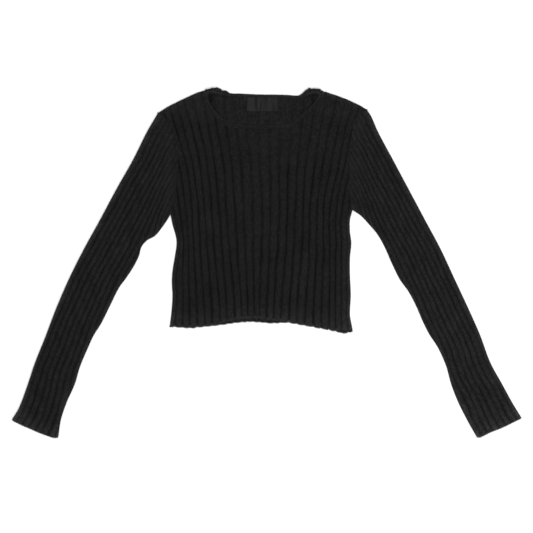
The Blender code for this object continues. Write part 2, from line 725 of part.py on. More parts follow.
def sleeve_ring(mesh, point, end_gap, wanted, number_at):
    """One section of a sleeve, made of points of the mesh.

    Gives the loop round its outside, the loop round the slit between its layers, and for each
    point of the slit the number of the outside point next to it.
    """
    width = math.dist(point(0.0), point(1.0))
    margin = SLEEVE_SIDE / width
    slit_margin = SLIT_MARGIN * margin
    middle = REST_WALL + 0.5 * SLEEVE_GAP

    def vertex(at, z):
        x, y = point(at)
        return mesh.verts.new((x * MM, y * MM, z * MM))

    def slit_z(at):
        side_gap = min(at, 1.0 - at) * width
        return REST_WALL + SLEEVE_GAP + soft_rise(*point(at)) * edge_fade(side_gap) * edge_fade(end_gap)

    def top_z(at, rib_part=SIDE_RIB_PART):
        full = WALL + RIB_RISE * rib_height(number_at(*point(at))) * rib_part
        return slit_z(at) + EDGE_WALL + (full - EDGE_WALL) * edge_round(end_gap)

    def side_points(at):
        """Outermost, upper and lower point of the rounded side that ends at 0 or 1."""
        inward = at + SIDE_POINT * margin * (1.0 if at < 0.5 else -1.0)
        upper = middle + (top_z(inward) - middle) * SIDE_HIGH
        return vertex(at, middle * SIDE_MIDDLE), vertex(inward, upper), vertex(inward, SIDE_LOW)

    places = [place_on_line(point, number_at, number, margin, 1.0 - margin) for number in wanted]
    grooves = [index for index in range(len(places)) if index % len(RIB_STEPS) == 0 and index > 0]
    outermost, upper, lower = side_points(0.0)
    loop = [lower, outermost, upper, vertex(margin, top_z(margin))]
    slit = [vertex(margin, 0.5 * (REST_WALL + slit_z(margin)))]
    anchors = [1]
    for index, at in enumerate(places):
        whole = margin < at < 1.0 - margin
        loop.append(vertex(at, top_z(at, 1.0) if whole else top_z(at)))
        if index in grooves:
            inner_at = min(max(at, slit_margin), 1.0 - slit_margin)
            slit.append(vertex(inner_at, slit_z(inner_at)))
            anchors.append(len(loop) - 1)
    outermost, upper, lower = side_points(1.0)
    loop += [vertex(1.0 - margin, top_z(1.0 - margin)), upper, outermost]
    slit.append(vertex(1.0 - margin, 0.5 * (REST_WALL + slit_z(1.0 - margin))))
    anchors.append(len(loop) - 1)
    loop += [lower, vertex(1.0 - margin, 0.0)]
    for index in reversed(grooves):
        inner_at = min(max(places[index], slit_margin), 1.0 - slit_margin)
        loop.append(vertex(inner_at, 0.0))
        slit.append(vertex(inner_at, REST_WALL))
        anchors.append(len(loop) - 1)
    loop.append(vertex(margin, 0.0))
    return loop, slit, anchors


def make_sleeve(name, armhole, outer, inner, cuff, table, side):
    """A flattened tube with ribs on its upper side, open at the armhole and at the cuff."""
    lines = sleeve_lines(armhole, outer, inner, cuff, side)
    outside, inside = lines[1], lines[2]
    outside_running = lengths(outside)
    length = lengths(inside)[-1]

    def number_at(x, y):
        return sleeve_rib(outside, outside_running, table, x, y)

    wanted = []
    for rib in range(SLEEVE_RIB_COUNT + 1):
        wanted += [rib + step for step in RIB_STEPS]
    margin = SLEEVE_ENDS[-1]
    shares = list(SLEEVE_ENDS)
    shares += [margin + (1.0 - 2.0 * margin) * step / SLEEVE_RINGS for step in range(1, SLEEVE_RINGS)]
    shares += [1.0 - share for share in reversed(SLEEVE_ENDS)]

    mesh = bmesh.new()
    rings = []
    for share in shares:
        end_gap = min(share, 1.0 - share) * length
        rings.append(sleeve_ring(mesh, cross_line(lines, share), end_gap, wanted, number_at))
    for (loop, slit, _), (next_loop, next_slit, _) in zip(rings, rings[1:]):
        for chain, next_chain in ((loop, next_loop), (slit[::-1], next_slit[::-1])):
            count = len(chain)
            for corner in range(count):
                after = (corner + 1) % count
                mesh.faces.new((chain[corner], chain[after], next_chain[after], next_chain[corner]))
    for loop, slit, anchors in (rings[0], rings[-1]):
        count = len(anchors)
        for index in range(count):
            start = anchors[index]
            stop = anchors[(index + 1) % count]
            steps = (stop - start) % len(loop)
            span = [loop[(start + step) % len(loop)] for step in range(steps + 1)]
            mesh.faces.new(span + [slit[(index + 1) % count], slit[index]])
    return new_object(name, mesh, YARN_BLACK, 0.95)


# ---------------------------------------------------------------- assembly

for old in list(bpy.data.objects):
    bpy.data.objects.remove(old, do_unlink=True)

COLLECTION = bpy.data.collections.new("cropped_ribbed_sweater")
bpy.context.scene.collection.children.link(COLLECTION)

make_back()
make_front(neck_seam())
make_neckband()
make_label()
make_sleeve("sleeve_wearers_right", ARMHOLE_LEFT, OUTER_LEFT, INNER_LEFT, CUFF_LEFT,
            SLEEVE_RIBS_LEFT, -1)
make_sleeve("sleeve_wearers_left", ARMHOLE_RIGHT, OUTER_RIGHT, INNER_RIGHT, CUFF_RIGHT,
            SLEEVE_RIBS_RIGHT, 1)
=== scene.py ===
"""The cropped ribbed sweater as it looks, laid flat on a pale floor and seen from straight above.

Each CAD node is replaced by a finely ribbed shell of the same outline. Tables are in millimetres,
with the origin under the middle of the garment, +X to the right and +Y towards the neck.
"""

import math

import bmesh
import bpy
import numpy as np
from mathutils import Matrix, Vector, kdtree
from mathutils.geometry import delaunay_2d_cdt


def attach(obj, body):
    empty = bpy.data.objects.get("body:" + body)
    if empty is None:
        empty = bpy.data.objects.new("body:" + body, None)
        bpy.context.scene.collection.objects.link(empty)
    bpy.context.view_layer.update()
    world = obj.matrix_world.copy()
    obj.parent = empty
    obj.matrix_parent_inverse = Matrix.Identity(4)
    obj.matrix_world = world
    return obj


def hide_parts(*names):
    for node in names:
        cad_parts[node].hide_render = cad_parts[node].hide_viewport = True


MM = 0.001

# The photograph's frame: the middle of the picture and its width on the floor.
VIEW_MIDDLE = (-0.35, -7.7)
VIEW_WIDTH = 932.75
CAMERA_HEIGHT = 3000.0
SENSOR = 36.0

# Cloth, as in the CAD model.
WALL = 1.5
RIB_RISE = 1.4
REST_WALL = 1.8
SEAM_GAP = 0.3
BAND_WIDTH = 8.0
SIDE_RIB = 12.6
SLEEVE_GAP = 0.3

# Where the rib lines of the body run: x of every third groove at a height y.
RIB_FLOW = (
    # y, then x of ribs -9, -6, -3, 0, 3, 6 and 9
    (301.0, -180.6, -133.4, -76.5, -17.0, 45.2, 108.2, 157.2),
    (261.0, -166.6, -123.7, -73.0, -16.1, 43.4, 99.4, 145.8),
    (222.4, -155.6, -113.9, -69.1, -15.2, 41.7, 91.9, 135.3),
    (166.4, -140.2, -103.8, -60.4, -11.5, 37.5, 82.8, 124.6),
    (96.4, -131.1, -96.8, -56.2, -8.2, 36.4, 76.1, 110.6),
    (12.4, -126.9, -90.6, -50.9, -9.8, 32.4, 74.2, 110.1),
    (-71.6, -122.7, -83.1, -44.3, -11.9, 25.9, 67.7, 109.0),
    (-127.6, -121.1, -80.9, -44.1, -12.1, 24.2, 66.7, 108.7),
)
FLOW_RIBS = (-SIDE_RIB, -9.0, -6.0, -3.0, 0.0, 3.0, 6.0, 9.0, SIDE_RIB)

# Side edges, down to the hem; above the underarm they only lead the rib lines on.
SIDE_LEFT = (
    (-222.0, 301.0), (-196.0, 210.0), (-178.0, 140.0),
    (-167.8, 83.7), (-164.0, 64.9), (-157.7, 42.2), (-157.3, 28.2), (-160.5, 7.2), (-164.0, -13.8),
    (-165.4, -34.8), (-164.3, -59.3), (-165.7, -83.8), (-168.9, -111.8), (-170.0, -127.6),
)
SIDE_RIGHT = (
    (196.0, 301.0), (172.0, 210.0), (156.0, 140.0),
    (149.3, 91.2), (145.1, 73.7), (145.1, 52.7), (147.5, 33.4), (145.1, 7.2), (145.1, -22.6),
    (146.5, -57.6), (145.1, -92.6), (149.0, -115.3), (149.0, -127.6),
)

# Hem: x, y of the front's edge, y of the back's edge, which peeks out below it.
HEM = (
    (-170.0, -111.8, -111.8), (-155.2, -111.8, -112.9), (-134.2, -112.5, -114.4),
    (-113.2, -110.9, -112.3), (-92.2, -107.6, -110.4), (-71.2, -102.2, -107.6),
    (-50.2, -98.3, -104.8), (-29.2, -96.1, -103.4), (-11.7, -96.4, -104.3),
    (8.8, -100.3, -106.0), (35.6, -102.7, -104.9), (58.3, -107.3, -108.5),
    (82.8, -111.8, -112.9), (106.0, -116.2, -117.2), (124.8, -117.4, -121.3),
    (133.5, -117.6, -123.7), (150.0, -117.8, -120.6),
)

# Armhole seams, from the shoulder tip down to the underarm.
ARMHOLE_LEFT = (
    (-190.2, 260.9), (-181.5, 255.7), (-169.2, 234.7), (-158.7, 206.7), (-155.2, 178.7),
    (-157.0, 145.4), (-160.6, 121.8), (-165.2, 96.4), (-167.8, 83.7),
)
ARMHOLE_RIGHT = (
    (175.5, 266.2), (166.8, 262.7), (154.5, 250.4), (149.5, 232.9), (147.0, 206.7),
    (145.2, 178.7), (144.4, 147.9), (145.8, 117.4), (147.6, 101.7), (149.3, 91.2),
)

# Shoulder edges from the tip towards the neck; the back's run on below the neckband's turns.
SHOULDER_LEFT = (
    (-181.5, 266.4), (-172.7, 272.0), (-151.7, 282.5), (-130.7, 292.3), (-120.2, 296.9),
)
SHOULDER_RIGHT = (
    (163.3, 273.9), (142.3, 283.8), (121.3, 291.8), (112.0, 294.6), (107.6, 296.2), (103.5, 297.8),
)
BACK_NECK_LEFT = (
    (-111.5, 299.6), (-104.5, 300.6), (-97.0, 302.2), (-88.0, 303.2), (-82.5, 302.0),
    (-77.5, 298.6), (-74.5, 296.0), (-74.0, 290.0),
)
BACK_NECK_RIGHT = (
    (64.6, 287.4), (65.8, 292.0), (69.6, 298.4), (73.6, 301.2), (81.0, 301.0),
    (89.0, 300.4), (95.5, 298.2), (98.5, 298.2),
)

# Inner edge of the neckband at the front, left shoulder round to right shoulder.
NECK_INNER = (
    (-101.8, 286.5), (-98.2, 276.7), (-92.2, 267.9), (-84.6, 259.2), (-77.3, 251.3),
    (-68.6, 245.2), (-59.0, 242.2), (-38.0, 241.0), (-15.2, 240.6), (7.5, 240.6),
    (29.0, 241.0), (39.0, 242.6), (51.3, 250.1), (63.5, 260.9), (74.0, 269.7),
    (81.9, 278.4), (86.8, 286.3),
)
BAND_LOW = 2.4
BAND_TOP = 6.0
# The band's turns over the shoulders: outer x, outer y, inner x, inner y, underside, top.
TURN_LEFT = (
    (-110.4, 292.0, -102.8, 291.0, 2.4, 6.6), (-110.8, 296.6, -102.0, 292.8, 2.4, 7.2),
    (-106.2, 301.6, -100.8, 293.6, 2.4, 7.8), (-97.5, 303.9, -98.2, 294.0, 2.4, 8.0),
    (-87.8, 304.9, -93.6, 293.4, 2.4, 7.8), (-81.9, 303.8, -87.0, 292.2, 2.4, 7.2),
    (-77.0, 300.2, -80.0, 291.2, 2.4, 6.6), (-70.4, 299.5, -72.5, 290.6, 2.4, 5.6),
    (-63.6, 295.4, -64.0, 290.3, 0.0, 3.3),
)
TURN_RIGHT = (
    (99.6, 291.5, 89.6, 290.6, 2.4, 6.6), (101.4, 296.6, 88.8, 292.6, 2.4, 7.2),
    (96.8, 299.9, 87.2, 293.5, 2.4, 7.8), (90.0, 303.5, 84.6, 293.6, 2.4, 8.0),
    (81.2, 302.9, 80.6, 292.6, 2.4, 7.8), (73.4, 304.0, 75.6, 291.2, 2.4, 7.6),
    (68.4, 300.8, 70.0, 289.8, 2.4, 6.8), (63.0, 295.8, 63.4, 288.4, 2.4, 5.2),
    (55.0, 291.4, 55.0, 287.3, 0.0, 3.3),
)
# The back part between them droops a little: outer x, outer y, inner x, inner y, underside, top.
BAND_REAR = (
    (36.0, 292.3, 36.0, 288.1, 0.0, 3.3), (16.0, 292.9, 16.0, 288.8, 0.0, 3.3),
    (-8.0, 293.0, -8.0, 288.9, 0.0, 3.3), (-26.0, 293.7, -26.0, 289.5, 0.0, 3.3),
    (-46.0, 294.7, -46.0, 290.0, 0.0, 3.3),
)

# Sleeves: the outer, folded edge from the shoulder tip, the inner edge from the underarm,
# and the cuff's edge from the outer to the inner corner.
OUTER_LEFT = (
    (-209.5, 227.7), (-234.0, 178.7), (-263.7, 126.2), (-291.7, 73.7), (-319.7, 22.9),
    (-346.0, -29.6), (-368.7, -82.1), (-388.0, -132.8), (-405.5, -176.6), (-419.5, -218.6),
    (-433.5, -255.3), (-445.7, -275.4),
)
INNER_LEFT = (
    (-176.2, 70.2), (-185.0, 57.9), (-195.5, 45.7), (-209.5, 37.8), (-219.1, 26.4),
    (-223.5, 10.7), (-232.2, -6.8), (-244.5, -26.1), (-258.5, -45.3), (-274.2, -76.8),
    (-290.0, -108.3), (-302.2, -127.6), (-312.7, -150.3), (-326.7, -183.6), (-335.5, -213.3),
    (-349.5, -244.8), (-360.0, -276.3), (-364.2, -305.7),
)
CUFF_LEFT = (
    (-445.7, -275.4), (-426.5, -285.1), (-415.1, -289.8), (-400.2, -296.4), (-382.0, -303.3),
    (-371.3, -306.5), (-364.2, -305.7),
)
OUTER_RIGHT = (
    (182.6, 255.4), (194.8, 227.7), (221.0, 178.7), (249.0, 126.2), (277.0, 73.7), (304.2, 22.9),
    (328.7, -29.6), (353.2, -82.1), (373.3, -127.6), (390.8, -174.8), (411.8, -213.3),
    (431.0, -248.3), (445.7, -272.1),
)
INNER_RIGHT = (
    (165.0, 80.7), (179.0, 65.8), (193.0, 49.2), (205.3, 28.2), (219.3, -3.3),
    (233.3, -31.3), (247.3, -50.6), (261.3, -76.8), (271.8, -101.3), (284.0, -125.8),
    (299.8, -150.3), (313.8, -181.8), (322.5, -213.3), (334.8, -244.8), (350.5, -276.3),
    (366.3, -304.3),
)
CUFF_RIGHT = (
    (445.7, -272.1), (434.5, -277.5), (411.8, -288.6), (392.0, -296.4), (380.3, -302.2),
    (371.5, -306.0), (366.3, -304.3),
)
# Sleeve ribs follow the outer edge: share of its length, first groove's distance, pitch.
SLEEVE_RIBS_LEFT = (
    (0.0, 10.5, 9.2), (0.35, 10.6, 9.3), (0.6, 9.0, 9.6), (0.8, 6.5, 10.3), (1.0, 9.2, 12.0),
)
SLEEVE_RIBS_RIGHT = (
    (0.0, 11.5, 8.8), (0.35, 10.8, 9.0), (0.6, 10.6, 9.5), (0.8, 7.5, 10.2), (1.0, 8.0, 11.5),
)
SLEEVE_RIB_COUNT = 12
SLEEVE_SIDE = 2.6

# Soft rises of the upper layer: x, y, heading in degrees, half length, half width, height.
SOFT_RISES = (
    (-12.0, 70.0, 90.0, 150.0, 90.0, 1.0),
    (-120.0, 200.0, 65.0, 70.0, 22.0, 0.9),
    (110.0, 205.0, 115.0, 70.0, 22.0, 0.9),
    (-140.0, 60.0, 62.0, 55.0, 10.0, 1.0),
    (126.0, 66.0, 118.0, 50.0, 9.0, 0.9),
    (-60.0, -60.0, 84.0, 40.0, 26.0, 0.7),
    (70.0, -70.0, 96.0, 40.0, 24.0, 0.7),
    (-196.0, 130.0, 50.0, 60.0, 16.0, 1.2),
    (-206.0, 62.0, 40.0, 34.0, 9.0, 1.6),
    (186.0, 110.0, 128.0, 46.0, 11.0, 1.3),
    (-262.0, 42.0, 61.0, 60.0, 15.0, 0.9),
    (262.0, 34.0, 119.0, 66.0, 15.0, 0.9),
    (-330.0, -110.0, 66.0, 70.0, 14.0, 0.8),
    (332.0, -120.0, 115.0, 60.0, 14.0, 0.8),
    (-394.0, -240.0, 70.0, 34.0, 14.0, 0.7),
    (396.0, -244.0, 112.0, 34.0, 14.0, 0.7),
)

# Tables of hills hold x, y, half width, half length and height.
# Here they are the depths of the hollows where the neck opening runs out under the shoulders, which
# inner_shade also paints darker as a painted shadow.
HOLLOWS = (
    (-98.2, 286.0, 4.5, 12.0, 0.55),
    (80.6, 286.0, 4.0, 12.0, 0.5),
    (-89.0, 264.0, 4.0, 12.0, 0.2),
    (73.0, 266.0, 4.0, 11.0, 0.2),
)

# Places where the front's grooves are shallower, by a share of their depth.
CALM_PLACES = (
    (-10.0, 205.0, 75.0, 42.0, 0.4),
    (-20.0, 95.0, 40.0, 70.0, 0.34),
    (50.0, 225.0, 130.0, 50.0, 0.36),
)
CALM_SIDES = 0.35         # the same along the body's sides, below the underarm
CALM_TOP = 0.5            # and at the shoulders
CALM_LEAST = 0.25         # least share of a groove's depth that is left

# Label, sewn in under the back of the neckband: left, right, lower and upper edge.
LABEL_BOX = (-34.5, 19.8, 263.7, 288.6)
# Its creases: place across, lean, width, all as shares of its width, and depth, which also paints a crease
# darker, painted shade, or below 0 lighter, a painted highlight.
LABEL_CREASES = (
    (0.34, -0.06, 0.035, 0.6),
    (0.44, 0.03, 0.025, 0.55),
    (0.57, 0.02, 0.07, 0.38),
    (0.84, -0.02, 0.045, 0.4),
    (0.13, 0.02, 0.07, -0.14),
    (0.39, -0.01, 0.022, -0.25),
    (0.73, 0.0, 0.035, -0.2),
)
BAND_BACK = 290.3         # the back's neck edge below this height is tucked into the band

# Parts of the back's inner side that are hidden and that show in the neck: left, right, low, high.
BACK_HIDDEN = (-400.0, 400.0, -400.0, 222.0)
BACK_SHOWN = (-112.0, 102.0, 226.0, 300.0)

# Fine form of the cloth, in millimetres unless a share is named.
GROOVE_WIDTH = 0.16       # of the rib pitch, to where the groove's side is steepest
CROWN = 0.24              # share of a rib's height that is its round crown
SLEEVE_GROOVE = 0.21      # the sleeves' ribs are rounder: the same two shares for them
SLEEVE_CROWN = 0.42
GROOVE_EXTRA = 0.55       # the groove is this much deeper than in the plain solid
HEM_SCALLOP = 1.5         # each rib bulges beyond the groove beside it at the hem and cuffs
FREE_EDGE = 0.9           # height of the wall's upper edge over its base at the hem and cuffs
SEAM_EDGE = 2.3           # and at a seam, where the next piece carries on
SIDE_EDGE = 0.5           # and at a side or shoulder
EDGE_ROUND = 3.0          # the wall has its full thickness this far from its edge
EDGE_CALM = 18.0          # and its soft rises their full height this far from it
NECK_TUCK = 0.7           # the front's neck edge runs this far under the band
BACK_TUCK = 2.0           # and the back's straight edge this far into it
BAND_LIFT = -0.3          # top of the band's front over the plain solid's
HEAD_REACH = 0.45         # share of a sleeve's length that bends like its armhole's seam
CUFF_REACH = 0.12         # and like its cuff
UNDERARM_BEND = 1.4       # near the underarm the sleeve's ribs turn along the seam by so many ribs
UNDERARM_REACH = 27.0     # and this far from the seam

# Where the points of the meshes lie: shares of a rib, and steps in millimetres.
RIB_SAMPLES = (0.0, 0.05, 0.1, 0.15, 0.2, 0.3, 0.4, 0.5, 0.6, 0.7, 0.8, 0.85, 0.9, 0.95)
PLAIN_SAMPLES = (0.0, 0.5)
SLEEVE_SAMPLES = (0.0, 0.07, 0.14, 0.22, 0.4, 0.6, 0.78, 0.86, 0.93)
LOW_SAMPLES = (0.0, 0.12, 0.25, 0.5, 0.75, 0.88)
ROW_STEP = 3.0
PLAIN_STEP = 12.0
RING_STEP = 2.6
EDGE_STEP = 1.2
EDGE_RINGS = (0.5, 1.2, 2.1)
ARC_STEPS = 6             # of a sleeve's rounded side, from its edge to its top
SLIT_STEP = 4             # the slit in a sleeve has every fourth of its ring's points
MERGE = 0.02              # points of a sleeve nearer than this become one
NET_STRETCH = 40.0        # a rib's width in the plane where the panels are divided
BAND_STEP = 1.1
BAND_SIDES = 40

# Light and dark places, as shares of the yarn's own tone; most are painted light and painted shade.
START_WIDTH = 22.0        # the first rows at the hem and the cuffs are lighter: partly the loose rows' own tone, partly painted light
START_LIGHT = 0.54
START_EDGE_WIDTH = 4.5    # the last stitches most of all
START_EDGE_LIGHT = 0.4
RIM_WIDTH = 6.5           # painted sheen: a folded edge is painted lighter, unevenly, where its fuzz would catch the light
RIM_LIGHT = 0.7
SIDE_LIGHT = 0.3          # painted light: the body's low right side is painted lighter, as light falls from the lower right
SHOULDER_LIGHT = 0.14     # the body's top by the shoulders is a little lighter
GROOVE_SHADE = 0.34       # painted shade: a groove's bottom is painted darker, down to this share
# Tone of the sleeve at the left, -1, and at the right, 1: at its head, and the gain to its cuff; the right
# sleeve's higher tone and its gain are painted light from the lower right.
SLEEVE_LIGHT = {-1: (1.29, 0.0), 1: (1.36, 0.35)}

# Knitted stitches: how many to a rib, their width and their height.
WALES_PER_RIB = 7
WALE = 1.85
COURSE = 1.4
KNIT_RELIEF = 0.35
YARN_GLOSS = (0.95, 0.08, 0.03)  # roughness, specular level and sheen
FINISH_INPUTS = ("Base Color", "Roughness", "Specular IOR Level", "Sheen Weight", "Sheen Roughness")

# Stitches of seams and start edges: pitch, width, height, and the angles of each one's loops.
LEGS = (-0.55, 0.55)
STITCHES = {
    "start": (3.1, 2.6, 1.2, LEGS),
    "side": (2.1, 1.5, 0.8, (0.0,)),
    "neck": (2.1, 1.9, 0.9, LEGS),
    "armhole": (2.1, 1.8, 0.9, LEGS),
    "label": (2.1, 0.7, 0.35, (0.0,)),
}
START_INSET = 0.1         # middle of a start edge's stitches inside the cloth's edge
LABEL_HEM = 1.6           # the label's stitches lie this far from its ends

# Stage: the floor's width in metres and its drop below the cloth in millimetres.
FLOOR_SIZE = 8.0
FLOOR_DROP = 0.3
WORLD_LIGHT = 0.58
# Lamps: name, place, size in metres, power in watts.
LAMPS = (
    ("overhead_light", (-0.3, 0.5, 2.2), 1.8, 18.0),
    ("fill_light", (0.5, -0.55, 1.85), 1.2, 23.0),
)


# -------- curves

def curve(knots, values, at):
    """Smooth curve through the values, straight beyond its ends."""
    knots = np.asarray(knots, float)
    values = np.asarray(values, float)
    at = np.atleast_1d(np.asarray(at, float))
    if knots[0] > knots[-1]:
        knots, values = knots[::-1], values[::-1]
    column = (slice(None),) + (None,) * (values.ndim - 1)
    slopes = np.empty_like(values)
    slopes[1:-1] = (values[2:] - values[:-2]) / (knots[2:] - knots[:-2])[column]
    slopes[0] = (values[1] - values[0]) / (knots[1] - knots[0])
    slopes[-1] = (values[-1] - values[-2]) / (knots[-1] - knots[-2])
    low = np.clip(np.searchsorted(knots, at) - 1, 0, len(knots) - 2)
    span = (knots[low + 1] - knots[low])[column]
    share = (at - knots[low])[column] / span
    part = np.clip(share, 0.0, 1.0)
    square, cube = part ** 2, part ** 3
    value = ((2 * cube - 3 * square + 1) * values[low] + (cube - 2 * square + part) * span * slopes[low]
             + (3 * square - 2 * cube) * values[low + 1] + (cube - square) * span * slopes[low + 1])
    return value + (share - part) * span * np.where(share > 0.5, slopes[low + 1], slopes[low])


def look_up(table, at, column=1, key=0):
    """One column of a table as a smooth curve over its key column."""
    table = np.asarray(table)
    return curve(table[:, key], table[:, column], at)


def upright(table, start, stop, count=60):
    """A smooth line through a table of x, y, evenly spaced in y."""
    heights = np.linspace(start, stop, count)
    return np.stack([look_up(table, heights, 0, 1), heights], axis=-1)


def lengths(points):
    """Running length along a polyline."""
    steps = np.linalg.norm(np.diff(points, axis=0), axis=1)
    return np.concatenate([[0.0], np.cumsum(steps)])


def along(points, shares):
    """Points of a polyline at shares of its length."""
    running = lengths(points)
    at = np.asarray(shares) * running[-1]
    return np.stack([np.interp(at, running, points[:, axis]) for axis in range(points.shape[1])], axis=-1)


def smooth(points, count):
    """Evenly spaced points of a smooth curve through the given ones."""
    points = np.asarray(points, float)
    running = lengths(points)
    fine = curve(running, points, np.linspace(0.0, running[-1], count * 6))
    return along(fine, np.linspace(0.0, 1.0, count))


def evenly(points, step):
    """A polyline with its points a step apart."""
    points = np.asarray(points, float)
    count = max(int(round(lengths(points)[-1] / step)), 2)
    return along(points, np.linspace(0.0, 1.0, count + 1))


def unit(vectors):
    """The vectors drawn to length 1."""
    return vectors / np.maximum(np.linalg.norm(vectors, axis=-1, keepdims=True), 1e-9)


def normals_of(points, closed=False):
    """Unit vectors to the left of a polyline."""
    if closed:
        ahead = unit(np.roll(points, -1, axis=0) - np.roll(points, 1, axis=0))
    else:
        ahead = unit(np.gradient(points, axis=0))
    return np.stack([-ahead[:, 1], ahead[:, 0]], axis=-1)


def nearest(points, x, y):
    """Distance of each place from a polyline, and the share of its length where it is nearest."""
    start, step = points[:-1], np.diff(points, axis=0)
    running = lengths(points)
    away_x = x[:, None] - start[None, :, 0]
    away_y = y[:, None] - start[None, :, 1]
    span = (step ** 2).sum(axis=1)
    part = np.clip((away_x * step[:, 0] + away_y * step[:, 1]) / span, 0.0, 1.0)
    gap = np.hypot(away_x - part * step[:, 0], away_y - part * step[:, 1])
    index = gap.argmin(axis=1)
    row = np.arange(len(x))
    place = running[index] + part[row, index] * np.sqrt(span[index])
    return gap[row, index], place / running[-1]


def crossings(heights, places, level):
    """Places where a closed line crosses a level, from the heights and places of its points."""
    heights_after, places_after = np.roll(heights, -1), np.roll(places, -1)
    over = (heights > level) != (heights_after > level)
    part = (level - heights[over]) / (heights_after[over] - heights[over])
    return places[over] + (places_after[over] - places[over]) * part


# -------- cloth form

def bell(*shares):
    """1 in the middle and fading smoothly; each share is a distance over its half width."""
    return np.exp(-sum(share ** 2 for share in shares))


def hills(table, x, y):
    """Height of a table's hills together."""
    return sum(height * bell((x - middle_x) / half_width, (y - middle_y) / half_length)
               for middle_x, middle_y, half_width, half_length, height in table)


def ramp(value, start, stop):
    """0 up to the start, 1 from the stop on, straight between."""
    return np.clip((value - start) / (stop - start), 0.0, 1.0)


def wander(a, b):
    """A gentle, repeatable unevenness between -1 and 1."""
    return (np.sin(a * 1.9 + b * 0.7 + 0.6 * np.sin(b * 1.3)) * 0.5
            + np.sin(b * 2.3 - a * 0.8 + 1.7) * 0.3 + np.sin(a * 4.1 + b * 3.1 + 0.4) * 0.2)


def fuzz(x, y):
    """The unevenness of the fuzz along an edge, between -1 and 1."""
    return wander(x / 1.3, y / 1.6)


def from_groove(number):
    """Distance from the nearest groove, in ribs."""
    return np.abs(number - np.round(number))


def rib_form(number, groove=GROOVE_WIDTH, crown=CROWN):
    """Height of the ribs at a rib number, 0 in a groove and 1 on a crest."""
    away = from_groove(number)
    return (1.0 - crown) * (1.0 - bell(away / groove)) + crown * np.sin(math.pi * away)


def groove_shade(form):
    """Painted shade of the grooves: how light the yarn is painted from a groove's bottom, form 0, to a rib's
    crest, form 1.
    """
    return GROOVE_SHADE + (1.0 - GROOVE_SHADE) * np.clip(form, 0.0, 1.0) ** 0.8


def wall_height(form):
    """Thickness of the ribbed wall where its form is so far up from a groove's bottom."""
    return WALL + RIB_RISE - (RIB_RISE + GROOVE_EXTRA) * (1.0 - form)


def edge_height(edge, form):
    """Height of the wall's upper edge at its very rim, a little higher on the ribs."""
    return edge * (0.75 + 0.35 * form)


def scallop(form):
    """How far the ribs' ends bulge out at a free edge; below 0 in the grooves."""
    return HEM_SCALLOP * (form - 0.6)


def start_light(gap):
    """Tone of the first rows at a free edge, by their distance from it: partly their own lighter tone, partly
    painted light.
    """
    return 1.0 + START_LIGHT * bell(gap / START_WIDTH) + START_EDGE_LIGHT * bell(gap / START_EDGE_WIDTH)


def rim_light(x, y, gap):
    """Painted sheen: how much lighter a folded edge is painted, unevenly along its fuzz."""
    return RIM_LIGHT * (1.0 + 1.1 * fuzz(x, y)) * bell(gap / RIM_WIDTH)


def edge_form(gap):
    """Quarter round: 0 at an edge, 1 once EDGE_ROUND away from it."""
    return np.sqrt(1.0 - (1.0 - ramp(gap, 0.0, EDGE_ROUND)) ** 2)


def edge_fade(gap):
    """Soft rises die out towards the edges."""
    share = ramp(gap, 0.0, EDGE_CALM)
    return share * share * (3.0 - 2.0 * share)


def soft_rise(x, y):
    """How far the upper layer stands proud of its lowest place."""
    height = 0.22 * (1.0 + wander(x / 31.0, y / 43.0))
    for middle_x, middle_y, heading, half_length, half_width, rise in SOFT_RISES:
        ahead = np.array((math.cos(math.radians(heading)), math.sin(math.radians(heading))))
        lengthwise = (x - middle_x) * ahead[0] + (y - middle_y) * ahead[1]
        crosswise = (y - middle_y) * ahead[0] - (x - middle_x) * ahead[1]
        height = height + rise * bell(lengthwise / half_length, crosswise / half_width)
    return height


# -------- rib lines of the body

HEIGHTS = np.arange(-135.0, 313.0, 1.0)
NUMBER_STEP = 0.05
NUMBERS = np.arange(-SIDE_RIB, SIDE_RIB + 0.01, NUMBER_STEP)


def rib_lines():
    """x of every rib line at every height, as numbers by heights."""
    places = [look_up(SIDE_LEFT, HEIGHTS, 0, 1)]
    places += [look_up(RIB_FLOW, HEIGHTS, column) for column in range(1, len(RIB_FLOW[0]))]
    places.append(look_up(SIDE_RIGHT, HEIGHTS, 0, 1))
    lines = curve(FLOW_RIBS, np.array(places), NUMBERS)
    number, height = NUMBERS[:, None], HEIGHTS[None, :]
    sway = wander(number * 1.3, height / 23.0) + 0.35 * wander(number * 2.7 + 5.0, height / 9.0)
    return lines + sway * (1.0 - np.abs(number / SIDE_RIB) ** 8)


LINES = rib_lines()


def line_x(numbers, heights):
    """x of rib lines at heights."""
    column = np.clip((numbers - NUMBERS[0]) / NUMBER_STEP, 0.0, len(NUMBERS) - 1.001)
    row = np.clip(heights - HEIGHTS[0], 0.0, len(HEIGHTS) - 1.001)
    i, j = column.astype(int), row.astype(int)
    across, up = column - i, row - j
    return ((LINES[i, j] * (1 - across) + LINES[i + 1, j] * across) * (1 - up)
            + (LINES[i, j + 1] * (1 - across) + LINES[i + 1, j + 1] * across) * up)


def line_number(points):
    """Rib number of each point of the body."""
    found = []
    for x, y in points:
        row = min(max(y - HEIGHTS[0], 0.0), len(HEIGHTS) - 1.001)
        low = int(row)
        lines = LINES[:, low] + (LINES[:, low + 1] - LINES[:, low]) * (row - low)
        found.append(np.interp(x, lines, NUMBERS))
    return np.array(found)


def rib_places(first, stop, samples):
    """Rib numbers of the samples of each rib from the first up to the stop."""
    return np.add.outer(np.arange(first, stop), samples).ravel()


# -------- meshes

def new_object(name, points, faces, material):
    """A smooth mesh object; the points are arrays in millimetres."""
    mesh = bpy.data.meshes.new(name)
    mesh.from_pydata((np.concatenate(points) * MM).tolist(), [], faces)
    mesh.polygons.foreach_set("use_smooth", [True] * len(mesh.polygons))
    mesh.materials.append(material)
    thing = bpy.data.objects.new(name, mesh)
    bpy.context.scene.collection.objects.link(thing)
    return thing


